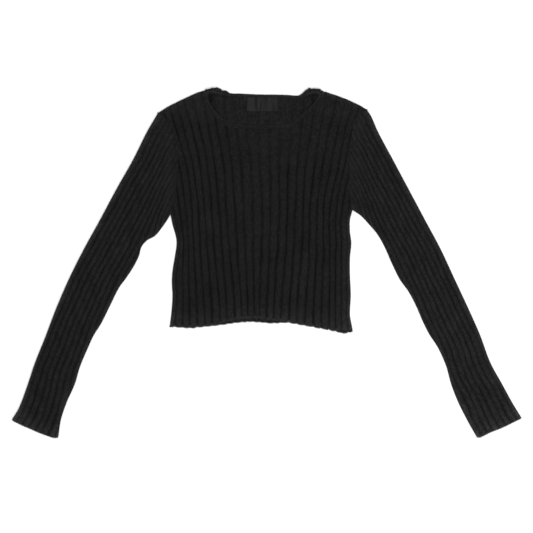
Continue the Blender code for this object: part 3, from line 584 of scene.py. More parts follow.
class Skin:
    """Points and faces of one mesh, with the knit and bake coordinates of each face's corners."""

    def __init__(self):
        self.count = 0
        self.points, self.shade, self.faces, self.knit, self.bake = [], [], [], [], []

    def add_points(self, points, shade):
        """Adds points in any shape of rows and returns their numbers in the same shape."""
        numbers = self.count + np.arange(points[..., 0].size).reshape(points.shape[:-1])
        self.points.append(points.reshape(-1, 3))
        self.shade.append(np.broadcast_to(shade, numbers.shape).ravel())
        self.count += numbers.size
        return numbers

    def add_faces(self, faces, knit, bake):
        """Adds faces as lists of point numbers, and the coordinates of all their corners in turn."""
        self.faces += faces
        self.knit.append(knit)
        self.bake.append(bake)

    def add_grid(self, ids, knit, bake):
        """Quads over rows of point numbers; knit and bake have the same rows and columns."""
        def quads(grid):
            corners = (grid[:-1, :-1], grid[:-1, 1:], grid[1:, 1:], grid[1:, :-1])
            return np.stack(corners, axis=2).reshape((-1, 4) + grid.shape[2:])
        self.add_faces(quads(ids).tolist(), quads(knit).reshape(-1, 2), quads(bake).reshape(-1, 2))

    def build(self, name, material, merge=0.0):
        """The mesh as an object; points nearer than merge become one."""
        thing = new_object(name, self.points, self.faces, material)
        for layer_name, corners in (("OFBake", self.bake), ("knit", self.knit)):
            layer = thing.data.uv_layers.new(name=layer_name)
            layer.data.foreach_set("uv", np.concatenate(corners).astype(np.float32).ravel())
        shade = thing.data.attributes.new("shade", "FLOAT", "POINT")
        shade.data.foreach_set("value", np.concatenate(self.shade).astype(np.float32))
        work = bmesh.new()
        work.from_mesh(thing.data)
        if merge:
            bmesh.ops.remove_doubles(work, verts=work.verts, dist=merge * MM)
        bmesh.ops.recalc_face_normals(work, faces=work.faces)
        work.to_mesh(thing.data)
        work.free()
        return thing


def layout(rows, columns, left=0.01, right=0.99, low=0.02, high=0.98):
    """Even bake coordinates for a grid."""
    across, up = np.meshgrid(np.linspace(left, right, columns), np.linspace(low, high, rows))
    return np.stack([across, up], axis=-1)


def wrapped(grid):
    """A grid with its first column repeated after the last."""
    return np.concatenate([grid, grid[:, :1]], axis=1)


# -------- body panels

class Outline:
    """A closed outline of the body with its rib numbers and edge heights."""

    def __init__(self, line, edge):
        self.line, self.edge = line, edge
        self.numbers = line_number(line)
        self.inward = normals_of(line, closed=True)
        self.tree = kdtree.KDTree(len(line))
        for index, (x, y) in enumerate(line):
            self.tree.insert((x, y, 0.0), index)
        self.tree.balance()

    def gaps(self, x, y):
        """Distance of places from the outline and its nearest point."""
        found = [self.tree.find((across, up, 0.0)) for across, up in zip(x, y)]
        return np.array([row[2] for row in found]), np.array([row[1] for row in found])

    def rings(self):
        """Points that follow the outline inside it: rib number, height, distance, nearest."""
        rows = []
        for distance in EDGE_RINGS:
            ring = self.line + self.inward * distance
            gap, near = self.gaps(ring[:, 0], ring[:, 1])
            keep = gap > 0.85 * distance
            ring = ring[keep]
            away = np.full(len(ring), distance)
            rows.append(np.column_stack([line_number(ring), ring[:, 1], away, near[keep]]))
        return np.concatenate(rows)

    def inner(self, samples, step, region=None):
        """Points in even rows and on rib lines further in, in the same columns as the rings."""
        last = math.ceil(SIDE_RIB)
        wanted = rib_places(-last, last, samples)
        wanted = wanted[np.abs(wanted) < SIDE_RIB - 0.02]
        heights = self.line[:, 1]
        found = []
        for height in np.arange(heights.min() + 0.5 * step, heights.max(), step):
            cuts = np.sort(crossings(heights, self.numbers, height))
            for low, high in zip(cuts[::2], cuts[1::2]):
                row = wanted[(wanted > low) & (wanted < high)]
                found.append(np.stack([row, np.full(len(row), height)], axis=-1))
        found = np.concatenate(found)
        x, y = line_x(found[:, 0], found[:, 1]), found[:, 1]
        if region:
            left, right, low, high = region
            inside = (x > left) & (x < right) & (y > low) & (y < high)
            found, x, y = found[inside], x[inside], y[inside]
        gap, near = self.gaps(x, y)
        keep = gap > EDGE_ROUND
        return np.column_stack([found[keep], gap[keep], near[keep]])

    def net(self, inner):
        """Triangles between the outline and points inside it, made in rib number and height."""
        edge = np.stack([self.numbers * NET_STRETCH, self.line[:, 1]], axis=-1)
        flat = np.concatenate([edge, inner * (NET_STRETCH, 1.0)])
        count = len(edge)
        border = [(index, (index + 1) % count) for index in range(count)]
        result = delaunay_2d_cdt([Vector(place) for place in flat], border, [], 0, 1e-6, True)
        sources = [ids[0] if ids else -1 for ids in result[3]]
        faces = np.array([[sources[corner] for corner in face] for face in result[2]])
        faces = faces[faces.min(axis=1) >= 0]
        middles = flat[faces].mean(axis=1)
        keep = faces.max(axis=1) >= count
        for index in np.flatnonzero(~keep):
            beyond = crossings(edge[:, 1], edge[:, 0], middles[index, 1]) > middles[index, 0]
            keep[index] = beyond.sum() % 2 == 1
        return faces[keep]

    def stretch(self, height, inset):
        """The stretches of the outline whose edge has a height, moved in by an inset."""
        member = np.flatnonzero(self.edge == height)
        runs = np.split(member, np.flatnonzero(np.diff(member) > 1) + 1)
        return [self.line[run] + self.inward[run] * inset for run in runs]


def panel(name, outline, layers, material):
    """A closed shell over an outline; layers are its upper and its lower side.

    Each layer is (its height, its shade, its rows of points). Both functions take the places' x, y,
    rib number, distance from the edge and the height of the edge there.
    """
    skin = Skin()
    low_corner, high_corner = outline.line.min(axis=0) - 4.0, outline.line.max(axis=0) + 4.0
    count = len(outline.line)
    rims = []
    for form, shade, rows in layers:
        rows = np.concatenate(rows)
        x = np.concatenate([outline.line[:, 0], line_x(rows[:, 0], rows[:, 1])])
        y = np.concatenate([outline.line[:, 1], rows[:, 1]])
        number = np.concatenate([outline.numbers, rows[:, 0]])
        gap = np.concatenate([np.zeros(count), rows[:, 2]])
        near = np.concatenate([np.arange(count), rows[:, 3]]).astype(int)
        place = (x, y, number, gap, outline.edge[near])
        points = np.stack([x, y, form(*place)], axis=-1)
        knit = np.stack([number * WALES_PER_RIB * WALE, y], axis=-1) * MM
        bake = (points[:, :2] - low_corner) / (high_corner - low_corner) * (0.5, 1.0)
        bake[:, 0] += 0.5 * len(rims)
        faces = outline.net(rows[:, :2])
        ids = skin.add_points(points, shade(*place))
        skin.add_faces(ids[faces].tolist(), knit[faces.ravel()], bake[faces.ravel()])
        rims.append((ids[:count], knit[:count], bake[:count]))
    flange = outline.line - outline.inward * 2.0
    flange = (flange - low_corner) / (high_corner - low_corner) * (0.5, 1.0)
    ids, knit, bake = [np.stack(rows) for rows in zip(*rims)]
    skin.add_grid(wrapped(ids), wrapped(knit[[0, 0]]), wrapped(np.stack([bake[0], flange])))
    return skin.build(name, material)


def body_outline(neck, back):
    """Outline of a panel, anticlockwise from the hem's left end."""
    numbers = np.linspace(-SIDE_RIB, SIDE_RIB, 700)
    x = line_x(numbers, np.full(len(numbers), HEM[0][1]))
    # The hem's height depends on x, and a rib line's x on the height: a few rounds settle both.
    for _ in range(6):
        y = look_up(HEM, x, 2 if back else 1)
        x = line_x(numbers, y)
    bulge = scallop(rib_form(numbers)) * (1.0 + 0.5 * wander(np.round(numbers - 0.5) * 2.3, 1.0))
    bulge = bulge + 0.3 * wander(numbers * 4.7, y / 9.0) + 0.35 * wander(numbers * 9.0, 3.0)
    bottom = np.stack([x, y - bulge], axis=-1)
    tip_left, underarm_left = ARMHOLE_LEFT[0], ARMHOLE_LEFT[-1]
    tip_right, underarm_right = ARMHOLE_RIGHT[0], ARMHOLE_RIGHT[-1]
    parts = (
        (bottom, FREE_EDGE),
        (upright(SIDE_RIGHT, bottom[-1, 1], underarm_right[1]), SIDE_EDGE),
        (upright(ARMHOLE_RIGHT, underarm_right[1], tip_right[1]), SEAM_EDGE),
        (np.array((tip_right,) + SHOULDER_RIGHT), SIDE_EDGE),
        (neck, SEAM_EDGE),
        (np.array(SHOULDER_LEFT[::-1] + (tip_left,)), SIDE_EDGE),
        (upright(ARMHOLE_LEFT, tip_left[1], underarm_left[1]), SEAM_EDGE),
        (upright(SIDE_LEFT, underarm_left[1], bottom[0, 1]), SIDE_EDGE),
    )
    line, edge = [], []
    for points, height in parts:
        if line:
            points = np.concatenate([line[-1][-1:], points])
        spaced = evenly(points, EDGE_STEP)[1 if line else 0:]
        line.append(spaced)
        edge.append(np.full(len(spaced), height))
    line, edge = np.concatenate(line), np.concatenate(edge)
    if math.dist(line[0], line[-1]) < 0.3 * EDGE_STEP:
        line, edge = line[:-1], edge[:-1]
    return Outline(line, edge)


def front_base(x, y, gap):
    """Height of the front's inner side."""
    return REST_WALL + SEAM_GAP + soft_rise(x, y) * edge_fade(gap)


def front_form(x, y, number):
    """How far the front is up from the bottom of its grooves, which are shallower in calm places."""
    depth = 1.06 - hills(CALM_PLACES, x, y) - CALM_TOP * ramp(y, 240.0, 275.0)
    depth = depth - CALM_SIDES * bell((SIDE_RIB - np.abs(number)) / 1.2) * ramp(-y, -110.0, -70.0)
    depth = np.maximum(depth, CALM_LEAST)
    uneven = 1.0 + 0.24 * wander(np.round(number) * 2.1, y / 34.0)
    uneven = uneven + 0.12 * wander(np.round(number) * 3.3, y / 8.0)
    return 1.0 - depth * uneven * (1.0 - rib_form(number))


def front_top(x, y, number, gap, edge):
    """Outer side of the front: wide, crowned ribs."""
    rim = edge_height(edge, rib_form(number))
    full = wall_height(front_form(x, y, number)) + 0.12 * wander(number * 2.6, y / 9.0)
    return front_base(x, y, gap) + rim + (full - rim) * edge_form(gap)


def front_shade(x, y, number, gap, edge):
    """Tone of the front: its own per rib, lighter at hem and top; painted groove shade, side sheen and light
    low on the right.
    """
    ribs = 1.0 + 0.07 * wander(np.round(number - 0.5) * 2.9, y / 60.0)
    painted_side_light = SIDE_LIGHT * bell((number - 12.2) / 1.5, np.maximum(y - 20.0, 0.0) / 60.0)
    rim = np.where(edge == SIDE_EDGE, rim_light(x, y, gap), 0.0)
    top = SHOULDER_LIGHT * ramp(y, 235.0, 265.0)
    # Lighter hem: partly the loose first rows' own tone, partly painted light, more at its right part.
    start = start_light(y - look_up(HEM, x)) * (1.0 + 0.1 * ramp(x, 20.0, 100.0) * ramp(-y, 0.0, 60.0))
    start = start * np.where(edge == FREE_EDGE, 1.0 + 0.2 * fuzz(x, y) * bell(gap / 6.0), 1.0)
    return groove_shade(front_form(x, y, number)) * (ribs + painted_side_light + rim + top) * start


def front_low(x, y, number, gap, edge):
    """Inner side of the front; it meets the back along the sides."""
    meets = np.where(edge == SIDE_EDGE, SEAM_GAP, 0.0) * (1.0 - edge_form(gap))
    return front_base(x, y, gap) - meets


def by_neckline(x, y):
    """How near a place inside the neck is to the front's neckline: its low part, and its left side."""
    gap, _ = nearest(smooth(NECK_INNER, 60), x, y)
    low = bell(gap / 3.6, (y - 241.0) / 20.0)
    left = bell(gap / 2.8, (y - 270.0) / 16.0) * (x < 0.0)
    return low, left


def inner_shade(x, y, number, gap, edge):
    """Tone of the cloth's inner side, where the ribs show faintly, with painted light and painted shadow by
    the neck.
    """
    low, left = by_neckline(x, y)
    tone = 1.1 - 0.18 * bell(from_groove(number) / 0.2) + 0.24 * wander(number * 10.0, y / 60.0)
    # Lighter along the back's neck edge; painted light along the low front neckline and a painted shadow
    # inside its left side.
    tone = tone + 0.16 * bell((y - 290.0) / 8.0) + 0.45 * low - 0.4 * left
    tone = tone + np.where(edge == FREE_EDGE, 0.4 * bell(gap / 5.0), 0.0)
    # Painted shadow in the hollows.
    return tone * (1.0 - 1.3 * hills(HOLLOWS, x, y))


def back_top(x, y, number, gap, edge):
    """Inner side of the back, where each outer groove is a faint ridge."""
    low, left = by_neckline(x, y)
    inside = 1.35 + 0.2 * bell(from_groove(number) / 0.2) + 0.12 * wander(number * 5.0, y / 20.0)
    inside = inside - hills(HOLLOWS, x, y) + 0.6 * low - 0.2 * left
    return REST_WALL + (inside - REST_WALL) * edge_form(gap)


def back_low(x, y, number, gap, edge):
    """Outer side of the back, whose ribs' crests lie on the surface."""
    depth = 1.0 + 0.1 * wander(np.round(number) * 1.7, y / 40.0)
    rounding = np.where(edge == SIDE_EDGE, 0.9, 0.35) * (1.0 - edge_form(gap))
    return np.maximum(depth * (1.0 - rib_form(number)) * edge_form(gap) + rounding, 0.0)


def back_shade(x, y, number, gap, edge):
    """Tone of the back's outer side: painted shade in its grooves."""
    return groove_shade(rib_form(number))


def neck_edge():
    """The front's edge along the neckband, from the right shoulder to the left one."""
    inner = smooth(NECK_INNER, 90)
    outer = inner + normals_of(inner) * -(BAND_WIDTH + SEAM_GAP - NECK_TUCK)
    left = [TURN_LEFT[1][:2], TURN_LEFT[0][:2]]
    right = [TURN_RIGHT[0][:2], TURN_RIGHT[1][:2]]
    return np.concatenate([left, outer, right])[::-1]


def make_front(material):
    """The front panel and its outline."""
    outline = body_outline(neck_edge(), False)
    fine = [outline.rings(), outline.inner(RIB_SAMPLES, ROW_STEP)]
    plain = [outline.inner(PLAIN_SAMPLES, PLAIN_STEP)]
    layers = ((front_top, front_shade, fine), (front_low, inner_shade, plain))
    return panel("sweater_front", outline, layers, material), outline


def make_back(material):
    """The back panel and its outline; its inner side is finely divided only where it shows."""
    neck = np.array((BACK_NECK_LEFT + BACK_NECK_RIGHT)[::-1])
    neck[neck[:, 1] < BAND_BACK, 1] += BACK_TUCK
    outline = body_outline(neck, True)
    rings = outline.rings()
    inside = [rings, outline.inner(PLAIN_SAMPLES, PLAIN_STEP, BACK_HIDDEN),
              outline.inner(RIB_SAMPLES, ROW_STEP, BACK_SHOWN)]
    outside = [rings, outline.inner(RIB_SAMPLES, ROW_STEP * 1.2)]
    layers = ((back_top, inner_shade, inside), (back_low, back_shade, outside))
    return panel("sweater_back", outline, layers, material), outline


# -------- sleeves

def between_layers(top, low, lift):
    """Height from the sleeve's middle, lift 0, up to its top, 1, or down to its underside, -1."""
    middle = REST_WALL + 0.5 * SLEEVE_GAP
    return middle + np.where(lift >= 0.0, top - middle, middle - low) * lift


class Sleeve:
    """A flattened ribbed tube, knitted along its outer edge and open at the cuff."""

    def __init__(self, side, armhole, outer, inner, cuff, ribs):
        self.side, self.ribs = side, ribs
        self.end = upright(armhole, armhole[0][1], armhole[-1][1], 80)
        self.end = self.end + normals_of(self.end) * SEAM_GAP * 0.5 * side
        self.outside = smooth(np.concatenate([self.end[:1], outer]), 200)
        self.inside = smooth(np.concatenate([self.end[-1:], inner]), 240)
        self.cuff = smooth(cuff, 60)
        self.coarse = evenly(self.outside, 9.0)
        self.length = lengths(self.outside)[-1]

    def width(self, share):
        """Width at a share of the length."""
        return math.dist(along(self.outside, share), along(self.inside, share))

    def heading(self, share):
        """Unit vector down the sleeve."""
        return unit(along(self.outside, min(share + 0.01, 1.0)) - along(self.outside, max(share - 0.01, 0.0)))

    def across(self, share, at):
        """Places on a line across, which bends like the armhole near it and like the cuff near that."""
        first, last = along(self.outside, share), along(self.inside, share)
        places = first + (last - first) * at[:, None]
        head_part = max(1.0 - share / HEAD_REACH, 0.0) ** 2
        cuff_part = max(1.0 - (1.0 - share) / CUFF_REACH, 0.0) ** 2
        for line, part in ((self.end, head_part), (self.cuff, cuff_part)):
            chord = line[0] + (line[-1] - line[0]) * at[:, None]
            places = places + part * (along(line, at) - chord)
        return places

    def numbers(self, places):
        """Rib number of places; the ribs follow the outer edge and turn along the underarm's seam."""
        gap, place = nearest(self.coarse, places[:, 0], places[:, 1])
        seam_gap, seam_place = nearest(self.end, places[:, 0], places[:, 1])
        bend = UNDERARM_BEND * ramp(seam_place, 0.3, 0.8) * bell(seam_gap / UNDERARM_REACH)
        sway = 0.1 * wander(place * 21.0 + self.side, gap / 16.0) + 0.05 * wander(place * 60.0, gap / 9.0)
        return 1.0 + (gap - look_up(self.ribs, place, 1)) / look_up(self.ribs, place, 2) + bend + sway

    def stations(self, share, margin):
        """A ring's points, from the inner edge over the top and back below: shares across, lifts."""
        probe = np.linspace(0.0, 1.0, 90)
        probe_numbers = np.maximum.accumulate(self.numbers(self.across(share, probe)))
        layers = []
        for samples in (SLEEVE_SAMPLES, LOW_SAMPLES):
            wanted = rib_places(0, SLEEVE_RIB_COUNT + 1, samples)
            layers.append(np.clip(np.interp(wanted, probe_numbers, probe), margin, 1.0 - margin))
        top, low = layers
        arc = np.linspace(0.0, 0.5 * math.pi, ARC_STEPS + 1)
        turn, rise = margin * (1.0 - np.cos(arc)), np.sin(arc)
        at = np.concatenate([1.0 - turn, top[::-1], turn[::-1], turn[1:], low, 1.0 - turn[:0:-1]])
        lift_top = np.concatenate([rise, np.ones(len(top)), rise[::-1]])
        lift_low = np.concatenate([rise[1:], np.ones(len(low)), rise[:0:-1]])
        return at, np.concatenate([lift_top, -lift_low])

    def ring(self, share):
        """One ring: its places, those of the slit inside it, their shade and their knit coordinates."""
        side, length, width = self.side, self.length, self.width(share)
        margin = SLEEVE_SIDE / width
        cuff_gap = (1.0 - share) * length
        end_gap = min(share * length, cuff_gap)
        at, lift = self.stations(share, margin)
        places = self.across(share, at)
        side_gap = np.minimum(at, 1.0 - at) * width
        number = self.numbers(places)
        plain = rib_form(np.maximum(number, 0.5), SLEEVE_GROOVE, SLEEVE_CROWN)
        uneven = 1.0 + 0.24 * wander(np.round(number) * 2.3 + side, share * 22.0)
        uneven = uneven * (1.0 - 0.35 * bell(side_gap / 9.0)) * (1.0 - 0.45 * bell(share * length / 30.0))
        form = 1.0 - uneven * (1.0 - plain)

        def base(spots, gap):
            """Height of the upper layer's inner side."""
            lifted = soft_rise(spots[:, 0], spots[:, 1]) * edge_fade(gap) * edge_fade(end_gap)
            return REST_WALL + SLEEVE_GAP + lifted

        rounding = edge_form(end_gap * 1.2)
        full = wall_height(form) + 0.16 * wander(number * 1.9, share * 60.0 + side)
        rim = edge_height(SEAM_EDGE if share < 0.5 else FREE_EDGE, plain)
        top = base(places, side_gap) + rim + (full - rim) * rounding
        low = (1.0 - plain) * rounding + 0.4 * (1.0 - rounding)
        bulge = scallop(plain) * ramp(share, 0.98, 1.0)
        places = places + self.heading(share) * bulge[:, None]

        # Painted light: the right sleeve is lighter, more so towards its cuff; painted sheen along the folded
        # edges; painted shade in the grooves below.
        light, cuff_painted_light = SLEEVE_LIGHT[side]
        tone = light + cuff_painted_light * share + 0.13 * wander(number * 1.6, share * 44.0 + side)
        tone = tone + 0.2 * wander(np.round(number - 0.5) * 3.1, share * 150.0)
        tone = tone + 1.2 * rim_light(places[:, 0], places[:, 1], side_gap)
        tone = tone * (start_light(cuff_gap) + 0.2 * fuzz(places[:, 0], places[:, 1]) * bell(cuff_gap / 7.0))
        shade = groove_shade(form) * tone

        # Below, the knit runs on round the outer edge.
        edge_number = number[ARC_STEPS + 1 + (SLEEVE_RIB_COUNT + 1) * len(SLEEVE_SAMPLES)]
        wale = np.where(lift >= 0.0, number, 2.0 * edge_number - number) * WALES_PER_RIB * WALE
        knit = np.column_stack([wale, np.full(len(wale), share * length)]) * MM

        slit_at = 0.9 * margin + at[::SLIT_STEP] * (1.0 - 1.8 * margin)
        slit = self.across(share, slit_at)
        ceiling = base(slit, np.minimum(slit_at, 1.0 - slit_at) * width)
        ceiling = ceiling + 0.8 * ramp(share, 0.97, 1.0) * np.sin(math.pi * slit_at)
        slit_z = between_layers(ceiling, REST_WALL - 0.3, lift[::SLIT_STEP])
        outer = np.column_stack([places, between_layers(top, low, lift)])
        return outer, np.column_stack([slit, slit_z]), shade, knit

    def mouth(self):
        """The line of the cuff's start edge."""
        margin = SLEEVE_SIDE / self.width(1.0)
        return self.across(1.0, np.linspace(margin, 1.0 - margin, 40)) - self.heading(1.0) * START_INSET

    def build(self, name, material):
        """The sleeve as an object: the rings outside, the slit inside and strips that close both ends."""
        even = np.linspace(0.005, 0.995, int(self.length / RING_STEP))
        shares = np.concatenate([[0.0, 0.0012, 0.003], even, [0.9975, 1.0]])
        outer, slit, shade, knit = [np.array(rows) for rows in zip(*[self.ring(share) for share in shares])]
        rows, columns = shade.shape
        slits = slit.shape[1]
        skin = Skin()
        ids, slit_ids = wrapped(skin.add_points(outer, shade)), wrapped(skin.add_points(slit, 0.9))
        bake = layout(rows, columns + 1, 0.01, 0.84)
        skin.add_grid(ids, wrapped(knit), bake)
        skin.add_grid(slit_ids, wrapped(knit[:, ::SLIT_STEP]), layout(rows, slits + 1, 0.86, 0.99))
        knit = wrapped(knit)
        for row, away in ((0, -0.012), (-1, 0.012)):
            for index in range(slits):
                start, stop = index * SLIT_STEP, min((index + 1) * SLIT_STEP, columns)
                back = [stop, start]
                corners = np.append(ids[row, start:stop + 1], slit_ids[row, [index + 1, index]])
                stitches = np.concatenate([knit[row, start:stop + 1], knit[row, back]])
                spread = np.concatenate([bake[row, start:stop + 1], bake[row, back] + (0.0, away)])
                skin.add_faces([corners.tolist()], stitches, spread)
        return skin.build(name, material, MERGE)


# -------- neckband and label

def band_stations():
    """The neckband's sections round the neck: outer and inner point, underside and top."""
    inner = smooth(NECK_INNER, 27)
    outer = inner + normals_of(inner) * -BAND_WIDTH
    front = np.column_stack([outer, inner, np.full(27, BAND_LOW), np.full(27, BAND_TOP)])
    return np.concatenate([front, TURN_RIGHT, BAND_REAR, TURN_LEFT[::-1]])


def make_neckband(material):
    """A closed, rolled band, plain at the front and bunched where it turns over the shoulders."""
    stations = band_stations()
    middles = 0.5 * (stations[:, :2] + stations[:, 2:4])
    running = lengths(np.concatenate([middles, middles[:1]]))
    total = running[-1]
    knots = np.concatenate([running[-4:-1] - total, running[:-1], running[:3] + total])
    values = np.concatenate([stations[-3:], stations, stations[:3]])
    count = int(total / BAND_STEP)
    places = np.linspace(0.0, total, count, endpoint=False)
    rows = curve(knots, values, places)
    angle = np.linspace(0.0, 2.0 * math.pi, BAND_SIDES, endpoint=False)
    side = (0.5 - 0.5 * np.sign(np.cos(angle)) * np.abs(np.cos(angle)) ** 0.75)[None, :]
    up = (0.5 + 0.5 * np.sign(np.sin(angle)) * np.abs(np.sin(angle)) ** 0.8)[None, :]
    on_top = np.clip(np.sin(angle), 0.0, 1.0)[None, :]

    outer, inner, at = rows[:, None, :2], rows[:, None, 2:4], places[:, None]
    low, top = np.maximum(rows[:, None, 4], 0.0), rows[:, None, 5]
    bunched = ramp(top, BAND_TOP + 0.15, BAND_TOP + 1.35)
    front = bell((top - BAND_TOP) / 0.5)
    rear = ramp(-top, -4.8, -3.6)
    waver = bunched * (0.9 * wander(at / 2.2, 1.0 - side) + 0.3 * np.sin(at * 2.0 * math.pi / 3.1))
    waver = waver + front * 0.25 * wander(at / 7.0, 0.5)
    xy = outer + (inner - outer) * side[..., None] - unit(inner - outer) * waver[..., None]
    link = 0.55 * bell((side - 0.38) / 0.07) + bell((side - 0.06) / 0.07)
    link = link * (1.0 - bunched) * (0.3 + 0.7 * front)
    folds = np.cos((side - 0.14) * 4.0 * math.pi + 0.6 * np.sin(at / 5.0))
    cross = wander(at * 0.72, side * 7.0)
    z = low + (top + BAND_LIFT * front - low) * up
    z = z - on_top * (1.1 * link + bunched * (1.2 - 0.9 * folds - 0.8 * cross))
    # Painted shade along the band's inner edge and in the troughs of the bunched turns, whose crests get
    # painted highlights; the link lines are darker seam lines, the front darker, the back lighter.
    shade = 1.17 - 0.2 * front + 0.3 * rear - 0.5 * link - 0.15 * (1.0 - bunched) * bell((side - 1.0) / 0.07)
    shade = np.maximum(shade + bunched * (0.2 + 0.7 * folds + 0.9 * cross), 0.25)
    # Painted shade on the band's underside.
    shade = np.where(up < 0.3, 0.55, shade)
    grid = np.concatenate([xy, z[..., None]], axis=-1).transpose(1, 0, 2)

    skin = Skin()
    ids = skin.add_points(grid, shade.T)
    ids = wrapped(np.concatenate([ids, ids[:1]], axis=0))
    girth = np.linspace(0.0, 22.0, BAND_SIDES + 1)
    knit = np.stack(np.meshgrid(girth, np.append(places, total), indexing="ij"), axis=-1) * MM
    skin.add_grid(ids, knit, layout(BAND_SIDES + 1, count + 1))
    return skin.build("sweater_neckband", material)


def make_label(material):
    """A blank woven label: a thin, creased slip with its ends folded under."""
    left, right, low, high = LABEL_BOX
    columns, rows = 73, 37
    across, up = np.meshgrid(np.linspace(0.0, 1.0, columns), np.linspace(0.0, 1.0, rows))
    flare = 1.0 + 0.035 * (1.0 - up) ** 2
    x = 0.5 * (left + right) + (right - left) * (across - 0.5) * flare
    y = low + (high - low) * up - 0.7 * np.sin(math.pi * across) * (1.0 - up) + 0.3
    # Painted shade along each crease of positive depth, a painted highlight along one of negative depth; the
    # label is darker towards the right.
    crease, shade = 0.0, 1.04 - 0.2 * across
    for place, lean, width, deep in LABEL_CREASES:
        bow = 0.018 * np.sin(4.0 * up + 9.0 * place)
        fold = deep * bell((across - place - lean * up - bow) / width)
        fold = fold * (0.62 + 0.38 * np.sin(3.6 * up + 17.0 * place))
        crease = crease + 0.3 * fold
        shade = shade - 1.35 * fold
    ends = 0.18 * (np.exp(-(across / 0.05) ** 4) + np.exp(-((1.0 - across) / 0.05) ** 4))
    rim = np.minimum(np.minimum(across, 1.0 - across) * 50.0, np.minimum(up, 1.0 - up) * 26.0)
    bottom = REST_WALL + SEAM_GAP + 0.35 * (1.0 - np.cos(across * 13.8)) * (1.0 - 0.6 * up)
    top = bottom + 0.16 + 0.24 * np.sqrt(ramp(rim, 0.0, 0.5)) + crease + ends
    skin = Skin()
    knit = np.stack([x, y], axis=-1) * MM
    ids = []
    for height, start, stop in ((top, 0.01, 0.49), (bottom, 0.51, 0.99)):
        ids.append(skin.add_points(np.stack([x, y, height], axis=-1), shade))
        skin.add_grid(ids[-1], knit, layout(rows, columns, start, stop, 0.03, 0.97))

    def border(grid):
        """A grid's values once round its edge."""
        return np.concatenate([grid[0, :-1], grid[:-1, -1], grid[-1, :0:-1], grid[:0:-1, 0]])

    rim_ids = np.stack([border(grid) for grid in ids])
    strip = layout(2, rim_ids.shape[1] + 1, 0.01, 0.99, 0.982, 0.998)
    skin.add_grid(wrapped(rim_ids), wrapped(np.stack([border(knit)] * 2)), strip)
    return skin.build("sweater_label", material)


# -------- seams and start edges

def lobe(length, width, height):
    """A small rounded loop of yarn along +X."""
    work = bmesh.new()
    bmesh.ops.create_uvsphere(work, u_segments=8, v_segments=5, radius=0.5)
    points = np.array([vert.co[:] for vert in work.verts])[:, [2, 0, 1]] * (length, width, height)
    faces = [[vert.index for vert in face.verts] for face in work.faces]
    work.free()
    return points, faces


def chain(name, path, stitch, material):
    """A row of stitches along a path."""
    pitch, width, height, legs = STITCHES[stitch]
    stations = evenly(path, pitch)
    ahead = unit(np.gradient(stations, axis=0))
    points, faces = lobe(pitch * 1.35, width / len(legs), height)
    all_points, all_faces = [], []
    for index, (place, forward) in enumerate(zip(stations, ahead)):
        sideways = unit(np.cross((0.0, 0.0, 1.0), forward))
        upward = np.cross(forward, sideways)
        for leg in legs:
            angle = leg + 0.16 * wander(index * 1.7, leg)
            along_loop = forward * math.cos(angle) + sideways * math.sin(angle)
            shape = np.stack([along_loop, np.cross(upward, along_loop), upward])
            start = len(all_points) * len(points)
            all_points.append(points @ shape + place + sideways * np.sign(leg) * width * 0.24)
            all_faces += [[start + corner for corner in face] for face in faces]
    return new_object(name, all_points, all_faces, material)


def make_stitching(front_outline, back_outline, sleeves, edge_material, seam_material):
    """Start edges at the hem and cuffs, and the linked seams, each with the sheet it is on."""
    upper = REST_WALL + SEAM_GAP
    start_low, start_up = 0.75, 0.55
    pieces = []

    def add(sheet_name, name, line, height, stitch, material):
        path = np.column_stack([line, np.full(len(line), height)])
        pieces.append((sheet_name, chain(name, path, stitch, material)))

    for sheet_name, outline, height in (
        ("front", front_outline, upper + start_up),
        ("back", back_outline, start_low),
    ):
        line = outline.stretch(FREE_EDGE, START_INSET)[0]
        add(sheet_name, "hem_start_edge_" + sheet_name, line, height, "start", edge_material)
    sides = [line for line in front_outline.stretch(SIDE_EDGE, 0.1) if line[:, 1].max() < 110.0]
    for index, line in enumerate(sides):
        name = "side_seam_%d" % (index + 1)
        add("front", name, line, 0.5 * (REST_WALL + upper), "side", seam_material)
    link = neck_edge()[2:-2]
    link = link + normals_of(link) * -0.6
    add("front", "neck_link_seam", link, upper + SEAM_EDGE + 0.1, "neck", seam_material)
    for sheet_name, sleeve in sleeves.items():
        name = "armhole_seam_" + sheet_name
        add(sheet_name, name, sleeve.end, upper + SEAM_EDGE - 0.35, "armhole", seam_material)
        for layer, height in (("upper", REST_WALL + SLEEVE_GAP + start_up), ("lower", start_low)):
            name = "cuff_start_edge_%s_%s" % (sheet_name, layer)
            add(sheet_name, name, sleeve.mouth(), height, "start", edge_material)
    left, right, low, high = LABEL_BOX
    for index, x in enumerate((left + LABEL_HEM, right - LABEL_HEM)):
        line = np.array(((x, low + 1.5), (x, high - 1.0)))
        add("label", "label_stitches_%d" % (index + 1), line, upper + 0.5, "label", seam_material)
    return pieces


# -------- materials

class Value:
    """A number or colour in a material's node tree; sums and products of it make new nodes."""

    def __init__(self, tree, socket):
        self.tree, self.socket = tree, socket

    def feed(self, target):
        """Links the value to a socket."""
        self.tree.links.new(self.socket, target)

    def math(self, operation, other=0.0):
        node = self.tree.nodes.new("ShaderNodeMath")
        node.operation = operation
        for value, target in zip((self, other), node.inputs):
            put(value, target)
        return Value(self.tree, node.outputs[0])

    def __add__(self, other):
        return self.math("ADD", other)

    def __sub__(self, other):
        return self.math("SUBTRACT", other)

    def __mul__(self, other):
        return self.math("MULTIPLY", other)

    def wave(self, operation):
        """Sine or cosine, with one whole wave for each step of 1."""
        return (self * (2.0 * math.pi)).math(operation)


def put(value, target):
    """Links a value to a socket, or sets the socket's own number or colour."""
    if isinstance(value, Value):
        value.feed(target)
    else:
        target.default_value = value


